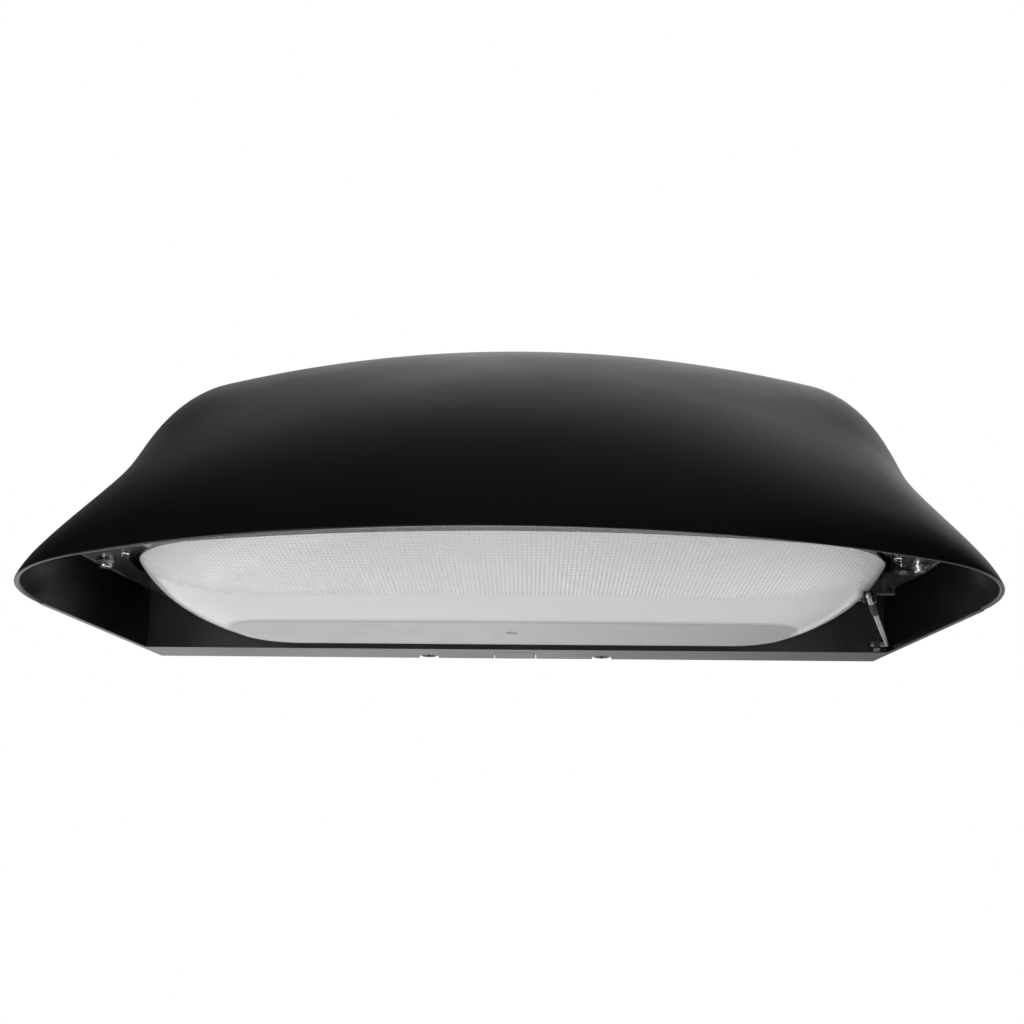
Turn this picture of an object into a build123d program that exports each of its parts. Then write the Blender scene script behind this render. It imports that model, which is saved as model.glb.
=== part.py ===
# Wall pack light: a black hood that hangs on a wall plate, with a clear prismatic lens below.
#
# Millimetres, +Z up, X across the wall, +Y into the wall, so the light faces -Y. The pieces are
# drawn with z = 0 at the hood's bottom rim and y given as a distance in front of the wall. At
# the end they move down, so that the origin is on the wall in the middle of the four fixings.
import os
from math import asin, cos, hypot, pi, radians, sin, sqrt, tan

from build123d import *

# ---- hood --------------------------------------------------------------------------------
REAR_GAP = 3.5           # wall to the hood's back edge
HOOD_DEPTH = 272.0       # wall to the middle of the front lip
HOOD_HEIGHT = 168.0      # rim to the top of the arch at the wall
HOOD_WALL = 2.5
HOOD_MARGIN = 5.0        # bowl's mouth to the hood's side at the wall
FLARE = 18.0             # degrees, how far the sides open towards the front at the rim
FLARE_FADE = 1.05        # how fast that flare dies away towards the wall
RIM_CORNER = 82.0        # plan radius of the two front tips
WALL_CORNER = 44.0       # radius of the two upper corners at the wall
LIP_RADIUS = 360.0       # plan radius of the front lip
ARCH_RADIUS = 680.0      # radius of the arch against the wall
PROFILE_POWER = 1.25     # 1 is a straight slope from lip to top, 2 is an ellipse
HOOD_SECTIONS = 9
HINGE_CORE = 4.0         # left out along the line where rim and wall meet
LUG_WIDTH = 12.0         # lugs inside the hood, behind which the back frame is screwed on
LUG_HEIGHT = 14.0
LUG_REACH = 12.0
SIDE_LUG_Z = 64.0
TOP_LUG_X = 95.0
POST_X = 88.0            # posts inside the hood's front that the tray is screwed to
POST_WIDTH = 16.0
POST_HEIGHT = 12.0
POST_DEPTH = 26.0

# ---- back frame --------------------------------------------------------------------------
STRIP_DEPTH = 22.0       # flat bottom face of the back frame, front to back
STRIP_THICK = 3.0
FRAME_WALL = 2.5
FRAME_GAP = 0.8          # bulkhead edge to the hood's inner face
BOX_HALF_WIDTH = 60.0    # wiring box on the bulkhead, open at its foot
BOX_HEADROOM = 11.0      # over the hole for the leads
KNOCKOUT_WIDTH = 21.0    # for 20 mm conduit
KNOCKOUT_REACH = 15.0
KNOCKOUT_GAP = 0.5
KNOCKOUT_TAB = 1.5       # small webs that hold the knock-out until it is pushed out

# ---- wall plate and hanger ---------------------------------------------------------------
PLATE_THICK = 2.5
PLATE_HALF_WIDTH = 65.0
PLATE_CORNER = 8.0
PLATE_LIFT = 6.5         # rim to the underside of the plate's bent tabs
TAB_WIDTH = 22.0
TAB_REACH = 15.0
WIRE_HOLE_R = 16.0
BOLT_SPACING_X = 80.0    # four wall fixings
BOLT_SPACING_Z = 90.0
BOLT_HOLE_R = 3.25
BOX_SCREW_SPACING = 88.9  # two holes for a junction box in the wall
BOX_SCREW_HOLE_R = 2.5
GASKET_THICK = 3.2
GASKET_WIDTH = 8.0
GASKET_GAP = 0.3         # gasket to the wiring box's edge
HANGER_X = 40.0
HANGER_Y = 9.0           # pin centre in front of the wall
HANGER_DROP = 11.0       # pin centre below the top of the arch
HANGER_PIN_R = 2.0
HANGER_PIN_HEAD_R = 3.0
HANGER_PIN_HEAD = 1.2
HANGER_CLEARANCE = 0.3
HOOK_WIDTH = 8.0
HOOK_SIDE_GAP = 1.0
HOOK_OVER_PIN = 3.8      # pin centre to the top of the hook
HOOK_REAR = 4.0          # pin centre to the hook's rear face
HOOK_FRONT = 5.0         # pin centre to the hook's front face
HOOK_TIP_DROP = 5.0      # how far the rear leg reaches below the pin centre
EAR_THICK = 2.5
EAR_REACH = 4.0          # ear past the pin centre
EAR_OVERLAP = 12.0       # ear on the plate
EAR_FOOT = 9.0           # top of the plate below the pin centre
LOCK_X = 45.0
LOCK_Y = 7.0
LOCK_R = 2.5
LOCK_HEAD_R = 4.2
LOCK_HEAD_H = 2.1
LOCK_HEAD_GAP = 0.45     # head to the face it clamps
LOCK_CLEARANCE = 0.35
LOCK_POCKET_GAP = 0.8
LOCK_BOSS_WALL = 3.0
LOCK_BOSS_GAP = 0.5      # boss to the plate's tab
GROUND_X = 42.0
GROUND_Z = 60.0
GROUND_R = 2.0
GROUND_HEAD_R = 4.2
GROUND_HEAD_H = 2.4

# ---- lens --------------------------------------------------------------------------------
LENS_WALL = 2.5
LENS_BOTTOM = 0.8        # lowest face of the bowl above the rim
FLANGE_Z = 26.0          # underside of the clear flange
FLANGE_THICK = 2.5
FLANGE_REAR_GAP = 2.0    # flange to the bulkhead
FLANGE_AHEAD = 13.0      # flange in front of the bowl's mouth
FLANGE_MARGIN = 0.5      # bowl's mouth to the flange's side line at the wall
FLANGE_FLARE = 13.0
FLANGE_CORNER = 26.0
FLANGE_ARC = 520.0
FLANGE_REAR_CORNER = 12.0
MOUTH_SETBACK = 6.5      # flange's rear edge to the bowl's mouth
WAIST_SETBACK = 6.8
FLOOR_SETBACK = 7.2
MOUTH = {"half": 181.0, "front": 165.0, "rear_r": 64.0, "front_r": 46.0, "arc": 520.0}
WAIST = {"half": 160.0, "front": 116.0, "rear_r": 45.0, "front_r": 30.0, "arc": 1600.0}
FLOOR = {"half": 139.0, "front": 84.0, "rear_r": 30.0, "front_r": 15.0, "arc": 5000.0}
WAIST_RISE = 6.7         # waist above the floor
DRAIN_R = 2.9            # small hole in the flat floor of the bowl
DRAIN_Y = 62.0
EAR_Y = 102.0            # the two screws that hold the lens
EAR_INSET = 7.0          # screw to the flange's side edge
EAR_SCREW_R = 1.95
EAR_HEAD_R = 3.5
EAR_HEAD_H = 2.4
WASHER_R = 4.5
WASHER_THICK = 0.6
PIP_AHEAD = 17.0         # moulded locating pips in front of the ears
PIP_INSET = 22.0
PIP_R = 2.0
PIP_HEIGHT = 1.6
SCREW_CLEARANCE = 0.2
GASKET_RING = 5.0        # width of the lens gasket
GASKET_RING_THICK = 1.5

# ---- tray and optics ---------------------------------------------------------------------
TRAY_THICK = 2.0
TRAY_GAP = 1.5           # tray edge to the hood's inner face
TRAY_FLANGE_HEIGHT = 14.0
TRAY_FLANGE_HALF = 90.0
TRAY_FLANGE_SCREW = 15.0  # screw in from the end of the flange
BOSS_HEIGHT = 8.0
BOSS_R = 5.0
BOSS_ROOF = 1.0
REFLECTOR_WALL = 1.0
REFLECTOR_INSET = 8.0    # tray opening inside the bowl's mouth
REFLECTOR_RIM = 5.0
REFLECTOR_HEIGHT = 24.0
REFLECTOR_MARGIN = 4.0   # top opening around the light boards
REFLECTOR_CORNER = 12.0
BOARD_HALF_WIDTH = 144.0
BOARD_REAR = 52.0
BOARD_FRONT = 128.0
BOARD_COUNT = 3
BOARD_GAP = 1.0
BOARD_THICK = 1.6
CHIP_SIZE = 3.5
CHIP_THICK = 0.8
CHIP_COLUMNS = 6
CHIP_ROWS = 3
SINK_THICK = 4.0
SINK_MARGIN = 6.0
FIN_COUNT = 8
FIN_THICK = 2.0
FIN_HEIGHT = 10.0
FIN_START = 30.0         # bare strip behind the first fin
FIN_END = 14.0           # bare plate beside the fins
SINK_BRACKET = 1.5       # sheet of the two brackets
BRACKET_FOOT = 10.0
BRACKET_GRIP = 11.0      # bracket on the heat sink
BRACKET_GAP = 3.0        # bracket to the reflector's rim
BRACKET_END = 8.0        # bracket in from the boards' ends
BRACKET_SCREW_INSET = 10.0
SMALL_SCREW_R = 1.5
SMALL_HEAD_R = 3.0
SMALL_HEAD_H = 1.8

# ---- driver and wiring -------------------------------------------------------------------
DRIVER_LENGTH = 150.0
DRIVER_DEPTH = 34.0
DRIVER_HEIGHT = 30.0
DRIVER_GAP = 6.4         # over the fins
DRIVER_EDGE = 3.0
BRACKET_THICK = 1.5
BRACKET_EAR = 12.0
BLOCK_LENGTH = 36.0
BLOCK_DEPTH = 12.0
BLOCK_HEIGHT = 16.0
BLOCK_X = -32.0
BLOCK_DROP = 32.0        # block's foot below the hole for the leads
POLE_COUNT = 3
POLE_R = 2.5
LEAD_R = 1.25
LEAD_BEND = 6.0
LEAD_GAP = 0.3
LEAD_PITCH = 4.0         # between the two leads to the light boards
LEAD_RUN = 22.0
GROMMET_HOLE_R = 7.0
GROMMET_WALL = 2.5
GROMMET_LIP = 1.5
SCREW_R = 2.0            # common screws
HEAD_R = 3.7
HEAD_H = 2.3
BITE = 9.0

# ---- prop rod ----------------------------------------------------------------------------
ROD_R = 1.5
ROD_SIDE = 3.0           # pivot inside the strip's front corner
ROD_AHEAD = 5.0          # pivot in front of the bulkhead
ROD_LIFT = 0.6           # pivot above the strip
ROD_RUN = 69.5           # from pivot to tip, forwards
ROD_LEAN = 17.2          # towards the middle
ROD_RISE = 8.4
ROD_CLEARANCE = 0.3
ROD_EYE = 8.5
SADDLE_WIDTH = 3.0
SADDLE_WALL = 2.0
SADDLE_FOOT = 0.3        # saddle's lowest face above the rim
CLIP_LENGTH = 4.0
CLIP_THICK = 1.0
CLIP_PLAY = 0.7          # rod to the clip's legs
CLIP_LEG = 3.6
CLIP_SETBACK = 4.0       # behind the rod's tip
CLIP_FOOT = 9.0
CLIP_STAND_OUT = 4.0     # clip's riser outside the bowl's mouth

# ---- worked out from the sizes above -----------------------------------------------------
STRIP_FRONT = REAR_GAP + STRIP_DEPTH           # front face of the back frame
BULKHEAD_REAR = STRIP_FRONT - FRAME_WALL
TRAY_Z = FLANGE_Z + FLANGE_THICK + GASKET_RING_THICK
TRAY_TOP = TRAY_Z + TRAY_THICK
BOARD_Z = TRAY_TOP + REFLECTOR_HEIGHT          # underside of the light boards
SINK_Z = BOARD_Z + BOARD_THICK
SINK_TOP = SINK_Z + SINK_THICK
DRIVER_Z = SINK_TOP + FIN_HEIGHT + DRIVER_GAP
LEAD_Z = DRIVER_Z + DRIVER_HEIGHT / 2          # hole for the leads
BOX_TOP = LEAD_Z + GROMMET_HOLE_R + BOX_HEADROOM
BOX_REAR = PLATE_THICK + GASKET_THICK + GASKET_GAP
HANGER_Z = HOOD_HEIGHT - HANGER_DROP
PLATE_TOP = HANGER_Z - EAR_FOOT
PLATE_MIDDLE = (PLATE_LIFT + PLATE_TOP) / 2
FLANGE_REAR = STRIP_FRONT + FLANGE_REAR_GAP
FLANGE_FRONT = MOUTH["front"] + FLANGE_AHEAD
FLANGE_HALF_WIDTH = MOUTH["half"] + FLANGE_MARGIN
REAR_HALF_WIDTH = MOUTH["half"] + HOOD_MARGIN   # hood's half width at the wall
EAR_X = FLANGE_HALF_WIDTH + EAR_Y * tan(radians(FLANGE_FLARE)) - EAR_INSET
PIP_X = FLANGE_HALF_WIDTH + EAR_Y * tan(radians(FLANGE_FLARE)) - PIP_INSET + PIP_R
BRACKET_X = MOUTH["half"] - REFLECTOR_INSET + REFLECTOR_RIM + BRACKET_GAP
FAR = 600.0                                    # longer than anything here
SIDES = (-1, 1)


def block(x0, x1, y0, y1, z0, z1):
    """A box between two corners."""
    size = (abs(x1 - x0), abs(y1 - y0), abs(z1 - z0))
    return Pos((x0 + x1) / 2, -(y0 + y1) / 2, (z0 + z1) / 2) * Box(*size)


def rod_up(x, y, z0, z1, radius):
    """An upright cylinder."""
    return Pos(x, -y, (z0 + z1) / 2) * Cylinder(radius, abs(z1 - z0))


def rod_to_wall(x, z, y0, y1, radius):
    """A cylinder square to the wall."""
    return Pos(x, -(y0 + y1) / 2, z) * Rot(90, 0, 0) * Cylinder(radius, abs(y1 - y0))


def rod_across(x0, x1, y, z, radius):
    """A cylinder along X."""
    return Pos((x0 + x1) / 2, -y, z) * Rot(0, 90, 0) * Cylinder(radius, abs(x1 - x0))


def flipped(point):
    return (-point[0], point[1])


# ---- outlines ----------------------------------------------------------------------------
def tangent_outline(half, flare, depth, front_arc, corner, start):
    """Half an outline of a flared side line, a corner arc and a front arc, all tangent.

    The side line leaves (half, 0) and is used from distance start. Returns its two ends, the
    corner arc's middle and end, and the middle of the front.
    """
    a = radians(flare)
    along = (sin(a), cos(a))
    inward = (-cos(a), sin(a))
    arc_y = depth - front_arc
    base = (half + corner * inward[0], corner * inward[1] - arc_y)
    b = base[0] * along[0] + base[1] * along[1]
    c = base[0] ** 2 + base[1] ** 2 - (front_arc - corner) ** 2
    t = -b + sqrt(b * b - c)
    side_end = (half + t * along[0], t * along[1])
    centre = (side_end[0] + corner * inward[0], side_end[1] + corner * inward[1])
    reach = hypot(centre[0], centre[1] - arc_y)
    out = (centre[0] / reach, (centre[1] - arc_y) / reach)
    corner_end = (centre[0] + corner * out[0], centre[1] + corner * out[1])
    middle = (out[0] - inward[0], out[1] - inward[1])
    scale = corner / hypot(*middle)
    corner_middle = (centre[0] + middle[0] * scale, centre[1] + middle[1] * scale)
    return (half + start * tan(a), start), side_end, corner_middle, corner_end, (0.0, depth)


def hood_section(angle, inset):
    """The hood's outline in the plane that leans back by angle from the rim plane."""
    a = radians(angle)
    share = sin(a) ** 2
    depth = HOOD_DEPTH - REAR_GAP
    reach = (cos(a) / depth) ** PROFILE_POWER + (sin(a) / HOOD_HEIGHT) ** PROFILE_POWER
    reach = reach ** (-1 / PROFILE_POWER)
    flare = FLARE * max(cos(a), 0.0) ** FLARE_FADE
    corner = RIM_CORNER + (WALL_CORNER - RIM_CORNER) * share - inset
    front_arc = 1 / ((1 - share) / LIP_RADIUS + share / ARCH_RADIUS) - inset
    half = REAR_HALF_WIDTH - inset / cos(radians(flare))
    points = tangent_outline(half, flare, reach - inset, front_arc, corner, HINGE_CORE)
    start, side_end, corner_mid, corner_end, front = points
    outline = [
        Edge.make_line(start, side_end),
        Edge.make_three_point_arc(side_end, corner_mid, corner_end),
        Edge.make_three_point_arc(corner_end, front, flipped(corner_end)),
        Edge.make_three_point_arc(flipped(corner_end), flipped(corner_mid), flipped(side_end)),
        Edge.make_line(flipped(side_end), flipped(start)),
        Edge.make_line(flipped(start), start),
    ]
    plane = Plane(origin=(0, -REAR_GAP, 0), x_dir=(1, 0, 0), z_dir=(0, -sin(a), -cos(a)))
    return plane.location * Wire(outline)


def hood_solid(inset):
    """The hood's outer form, drawn in by inset."""
    step = 90.0 / (HOOD_SECTIONS - 1)
    return Solid.make_loft([hood_section(step * i, inset) for i in range(HOOD_SECTIONS)])


def hood_front_at(x, z):
    """Distance of the hood's outer face from the wall, near the middle of the front."""
    depth = HOOD_DEPTH - REAR_GAP
    middle = depth * (1 - (z / HOOD_HEIGHT) ** PROFILE_POWER) ** (1 / PROFILE_POWER)
    return REAR_GAP + middle - LIP_RADIUS + sqrt(LIP_RADIUS ** 2 - x * x)


def side_limit(z, inset):
    """Half width of the hood at height z, just in front of the bulkhead."""
    spread = STRIP_DEPTH * tan(radians(FLARE)) * max(0.0, 1 - z / HOOD_HEIGHT)
    return REAR_HALF_WIDTH - inset + spread


def top_limit(x, inset):
    """Height of the hood's arch above x at the wall."""
    return HOOD_HEIGHT - ARCH_RADIUS + sqrt(ARCH_RADIUS ** 2 - x * x) - inset


def ring_wire(shape, rear, z, inset):
    """Rounded outline of one level of the bowl, drawn in by inset."""
    half = shape["half"] - inset
    rear_r = shape["rear_r"] - inset
    front = shape["front"] - inset
    points = tangent_outline(half, 0.0, front, shape["arc"] - inset, shape["front_r"] - inset, 0.0)
    _, side_end, corner_mid, corner_end, tip = points
    back = rear + inset
    bend = rear_r * (1 - sin(pi / 4))
    flat = [(half - rear_r, back), (half - bend, back + bend), (half, back + rear_r)]
    flat += [side_end, corner_mid, corner_end]
    right = [(x, -y, z) for x, y in flat]
    left = [(-x, -y, z) for x, y in flat]
    return Wire([
        Edge.make_line(left[0], right[0]),
        Edge.make_three_point_arc(right[0], right[1], right[2]),
        Edge.make_line(right[2], right[3]),
        Edge.make_three_point_arc(right[3], right[4], right[5]),
        Edge.make_three_point_arc(right[5], (0.0, -tip[1], z), left[5]),
        Edge.make_three_point_arc(left[5], left[4], left[3]),
        Edge.make_line(left[3], left[2]),
        Edge.make_three_point_arc(left[2], left[1], left[0]),
    ])


def bowl_solid(inset, floor_z):
    """The bowl's form from its flat floor up to the flange."""
    rings = [
        ring_wire(FLOOR, FLANGE_REAR + FLOOR_SETBACK, floor_z, inset),
        ring_wire(WAIST, FLANGE_REAR + WAIST_SETBACK, floor_z + WAIST_RISE, inset),
        ring_wire(MOUTH, FLANGE_REAR + MOUTH_SETBACK, FLANGE_Z, inset),
    ]
    return Solid.make_loft(rings)


def mouth_plate(inset, z0, z1):
    """A plate with the outline of the bowl's mouth, drawn in by inset."""
    outline = ring_wire(MOUTH, FLANGE_REAR + MOUTH_SETBACK, z0, inset)
    return extrude(Face(outline), z1 - z0, dir=(0, 0, 1))


def flange_plate(z0, z1):
    """The clear flange's outline: flared sides, rounded front and rear corners."""
    points = tangent_outline(FLANGE_HALF_WIDTH, FLANGE_FLARE, FLANGE_FRONT, FLANGE_ARC,
                             FLANGE_CORNER, FLANGE_REAR)
    right = [(x, -y, z0) for x, y in points[:4]]
    left = [(-x, -y, z0) for x, y in points[:4]]
    outline = Wire([
        Edge.make_line(left[0], right[0]),
        Edge.make_line(right[0], right[1]),
        Edge.make_three_point_arc(right[1], right[2], right[3]),
        Edge.make_three_point_arc(right[3], (0.0, -FLANGE_FRONT, z0), left[3]),
        Edge.make_three_point_arc(left[3], left[2], left[1]),
        Edge.make_line(left[1], left[0]),
    ])
    plate = extrude(Face(outline), z1 - z0, dir=(0, 0, 1))
    return fillet(plate.edges().filter_by(Axis.Z).group_by(Axis.Y)[-1], FLANGE_REAR_CORNER)


# ---- screws ------------------------------------------------------------------------------
def screw_to_wall(x, z, face, length, radius=SCREW_R):
    """A pan head on a face, with its shank running on towards the room or the wall."""
    toward = 1 if length > 0 else -1
    head = rod_to_wall(x, z, face - toward * HEAD_H, face, HEAD_R)
    return head + rod_to_wall(x, z, face, face + length, radius)


def screw_up(x, y, face, length, radius, head_r, head_h):
    """A pan head under a face with its shank running up, or above it running down."""
    toward = 1 if length > 0 else -1
    head = rod_up(x, y, face - toward * head_h, face, head_r)
    return head + rod_up(x, y, face, face + length, radius)


# ---- hood --------------------------------------------------------------------------------
def hood_lug_places():
    side = side_limit(SIDE_LUG_Z, HOOD_WALL) - LUG_WIDTH / 2
    top = top_limit(TOP_LUG_X, HOOD_WALL) - LUG_HEIGHT
    return [(s * x, z) for x, z in ((side, SIDE_LUG_Z), (TOP_LUG_X, top)) for s in SIDES]


def hood_lug(x, z):
    """Lug that runs from a screw out to the nearest wall of the hood."""
    half, rise = LUG_WIDTH / 2, LUG_HEIGHT / 2
    ends = (STRIP_FRONT, STRIP_FRONT + LUG_REACH)
    if z == SIDE_LUG_Z:
        out = FAR if x > 0 else -FAR
        near = -half if x > 0 else half
        return block(x + near, x + out, *ends, z - rise, z + rise)
    return block(x - half, x + half, *ends, z - rise, z + FAR)


def post_places():
    roof = TRAY_TOP + POST_HEIGHT
    y = hood_front_at(POST_X, roof) - HOOD_WALL - POST_DEPTH / 2
    return [(s * POST_X, y) for s in SIDES]


def tray_post(x, y):
    """Post that runs from a tray screw forward to the hood's front."""
    half = POST_WIDTH / 2
    return block(x - half, x + half, y - POST_DEPTH / 2, y + FAR, TRAY_TOP, TRAY_TOP + POST_HEIGHT)


def make_hood():
    shell = hood_solid(0.0) - hood_solid(HOOD_WALL)
    shell -= block(-FAR, FAR, 0, STRIP_FRONT, -1, STRIP_THICK)
    skin = hood_solid(HOOD_WALL / 2)
    for x, z in hood_lug_places():
        shell += hood_lug(x, z) & skin
        shell -= rod_to_wall(x, z, BULKHEAD_REAR, STRIP_FRONT + BITE, SCREW_R)
    for x, y in post_places():
        shell += tray_post(x, y) & skin
        shell -= rod_up(x, y, TRAY_Z, TRAY_TOP + BITE, SCREW_R)
    return shell


def make_hood_screws():
    return Part() + [screw_to_wall(x, z, BULKHEAD_REAR, FRAME_WALL + BITE)
                     for x, z in hood_lug_places()]


# ---- back frame --------------------------------------------------------------------------
def knockout_outline(grow, rear):
    """The U of the conduit entry."""
    half = KNOCKOUT_WIDTH / 2 + grow
    slab = block(-half, half, rear, REAR_GAP + KNOCKOUT_REACH + grow, 0, STRIP_THICK)
    return fillet(slab.edges().filter_by(Axis.Z).group_by(Axis.Y)[0], KNOCKOUT_WIDTH / 4 + grow)


def make_knockout():
    plug = knockout_outline(0.0, REAR_GAP)
    half = KNOCKOUT_WIDTH / 2 + KNOCKOUT_GAP
    y = REAR_GAP + KNOCKOUT_REACH / 2
    return plug + block(-half, half, y - KNOCKOUT_TAB / 2, y + KNOCKOUT_TAB / 2,
                        STRIP_THICK - KNOCKOUT_TAB, STRIP_THICK)


def lock_boss(x):
    half = LOCK_HEAD_R + LOCK_POCKET_GAP + LOCK_BOSS_WALL
    return block(x - half, x + half, REAR_GAP, LOCK_Y + half, STRIP_THICK, PLATE_LIFT - LOCK_BOSS_GAP)


def lock_notch(x):
    """A wide pocket for the screw's head and a narrow slot above it, both open at the rear."""
    pocket = LOCK_HEAD_R + LOCK_POCKET_GAP
    slot = LOCK_R + LOCK_CLEARANCE
    notch = rod_up(x, LOCK_Y, -1, STRIP_THICK, pocket)
    notch += block(x - pocket, x + pocket, 0, LOCK_Y, -1, STRIP_THICK)
    notch += rod_up(x, LOCK_Y, -1, PLATE_LIFT, slot)
    return notch + block(x - slot, x + slot, 0, LOCK_Y, -1, PLATE_LIFT)


def hanger_hook(x):
    """Hook that rises from the wiring box and drops over a hanger pin."""
    slot = HANGER_PIN_R + HANGER_CLEARANCE
    half = HOOK_WIDTH / 2
    foot = BOX_TOP - FRAME_WALL
    hook = block(x - half, x + half, HANGER_Y - HOOK_REAR, HANGER_Y + HOOK_FRONT, foot,
                 HANGER_Z + HOOK_OVER_PIN)
    hook -= rod_across(x - half - 1, x + half + 1, HANGER_Y, HANGER_Z, slot)
    hook -= block(x - half - 1, x + half + 1, HANGER_Y - slot, HANGER_Y + slot, foot - 1, HANGER_Z)
    return hook - block(x - half - 1, x + half + 1, 0, HANGER_Y, foot - 1, HANGER_Z - HOOK_TIP_DROP)


def tray_flange_screw_places():
    x = TRAY_FLANGE_HALF - TRAY_FLANGE_SCREW
    return [(s * x, TRAY_TOP + TRAY_FLANGE_HEIGHT / 2) for s in SIDES]


def make_back_frame():
    front_half = REAR_HALF_WIDTH + STRIP_DEPTH * tan(radians(FLARE))
    corners = [(-REAR_HALF_WIDTH, -REAR_GAP), (REAR_HALF_WIDTH, -REAR_GAP),
               (front_half, -STRIP_FRONT), (-front_half, -STRIP_FRONT)]
    frame = extrude(make_face(Polyline(*corners, close=True)), STRIP_THICK, dir=(0, 0, 1))
    slab = block(-FAR, FAR, BULKHEAD_REAR, STRIP_FRONT, STRIP_THICK, FAR)
    frame += hood_solid(HOOD_WALL + FRAME_GAP) & slab
    inner = BOX_HALF_WIDTH - FRAME_WALL
    box = block(-BOX_HALF_WIDTH, BOX_HALF_WIDTH, BOX_REAR, STRIP_FRONT, STRIP_THICK, BOX_TOP)
    frame += box - block(-inner, inner, 0, BULKHEAD_REAR, STRIP_THICK, BOX_TOP - FRAME_WALL)
    for side in SIDES:
        frame += lock_boss(side * LOCK_X)
        frame -= lock_notch(side * LOCK_X)
        frame += hanger_hook(side * HANGER_X)
    frame -= knockout_outline(KNOCKOUT_GAP, 0.0)
    frame -= rod_to_wall(0, LEAD_Z, 0, STRIP_FRONT + 1, GROMMET_HOLE_R)
    for x, z in hood_lug_places() + tray_flange_screw_places() + driver_ear_places():
        frame -= rod_to_wall(x, z, BULKHEAD_REAR - 1, STRIP_FRONT + 1, SCREW_R)
    return frame


# ---- wall plate --------------------------------------------------------------------------
def bolt_places():
    dx, dz = BOLT_SPACING_X / 2, BOLT_SPACING_Z / 2
    return [(sx * dx, PLATE_MIDDLE + sz * dz) for sx in SIDES for sz in SIDES]


def hanger_ears():
    """Left faces of the four ears that hold the hanger pins."""
    gap = HOOK_WIDTH / 2 + HOOK_SIDE_GAP
    return [s * HANGER_X + offset for s in SIDES for offset in (-gap - EAR_THICK, gap)]


def make_wall_plate():
    plate = block(-PLATE_HALF_WIDTH, PLATE_HALF_WIDTH, 0, PLATE_THICK, PLATE_LIFT, PLATE_TOP)
    plate = fillet(plate.edges().filter_by(Axis.Y).group_by(Axis.Z)[-1], PLATE_CORNER)
    for x in hanger_ears():
        plate += block(x, x + EAR_THICK, 0, HANGER_Y + EAR_REACH, PLATE_TOP - EAR_OVERLAP,
                       HANGER_Z + EAR_REACH)
        plate -= rod_across(x - 1, x + EAR_THICK + 1, HANGER_Y, HANGER_Z, HANGER_PIN_R)
    for x in (-LOCK_X, LOCK_X):
        plate += block(x - TAB_WIDTH / 2, x + TAB_WIDTH / 2, 0, TAB_REACH, PLATE_LIFT,
                       PLATE_LIFT + PLATE_THICK)
        plate -= rod_up(x, LOCK_Y, PLATE_LIFT - 1, PLATE_LIFT + PLATE_THICK + 1, LOCK_R)
    for x, z in bolt_places():
        plate -= rod_to_wall(x, z, -1, PLATE_THICK + 1, BOLT_HOLE_R)
    for side in SIDES:
        plate -= rod_to_wall(side * BOX_SCREW_SPACING / 2, PLATE_MIDDLE, -1, PLATE_THICK + 1,
                             BOX_SCREW_HOLE_R)
    plate -= rod_to_wall(0, PLATE_MIDDLE, -1, PLATE_THICK + 1, WIRE_HOLE_R)
    return plate - rod_to_wall(GROUND_X, GROUND_Z, -1, PLATE_THICK + 1, GROUND_R)


def make_box_gasket():
    """Foam on the wall plate under the wiring box's sides and top, open at the foot."""
    middle = BOX_HALF_WIDTH - FRAME_WALL / 2
    outer, inner = middle + GASKET_WIDTH / 2, middle - GASKET_WIDTH / 2
    top = BOX_TOP - FRAME_WALL / 2 + GASKET_WIDTH / 2
    foot = PLATE_LIFT + PLATE_THICK + LOCK_BOSS_WALL
    ends = (PLATE_THICK, PLATE_THICK + GASKET_THICK)
    ring = block(-outer, outer, *ends, foot, top)
    return ring - block(-inner, inner, 0, FAR, foot - 1, top - GASKET_WIDTH)


def make_hanger_pins():
    reach = HOOK_WIDTH / 2 + HOOK_SIDE_GAP + EAR_THICK
    pins = Part()
    for side in SIDES:
        x = side * HANGER_X
        pins += rod_across(x - reach, x + reach, HANGER_Y, HANGER_Z, HANGER_PIN_R)
        pins += rod_across(x + reach, x + reach + HANGER_PIN_HEAD, HANGER_Y, HANGER_Z,
                           HANGER_PIN_HEAD_R)
    return pins


def make_lock_screws():
    """Two screws in the plate's tabs whose heads clamp the back frame."""
    head_top = STRIP_THICK - LOCK_HEAD_GAP
    screws = Part()
    for side in SIDES:
        x = side * LOCK_X
        screw = rod_up(x, LOCK_Y, head_top - LOCK_HEAD_H, head_top, LOCK_HEAD_R)
        for turn in (0, 90):
            cross = Box(LOCK_HEAD_R * 1.2, LOCK_R * 0.4, LOCK_HEAD_H)
            screw -= Pos(x, -LOCK_Y, head_top - LOCK_HEAD_H) * Rot(0, 0, turn) * cross
        top = PLATE_LIFT + PLATE_THICK + LOCK_R
        screws += screw + rod_up(x, LOCK_Y, head_top, top, LOCK_R)
    return screws


def make_ground_screw():
    """Bonding screw in the wall plate."""
    face = PLATE_THICK + GROUND_HEAD_H
    head = rod_to_wall(GROUND_X, GROUND_Z, PLATE_THICK, face, GROUND_HEAD_R)
    slot = GROUND_HEAD_R + 1
    head -= block(GROUND_X - slot, GROUND_X + slot, face - 1, face + 1, GROUND_Z - 0.5, GROUND_Z + 0.5)
    return head + rod_to_wall(GROUND_X, GROUND_Z, 0, PLATE_THICK, GROUND_R)


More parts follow.
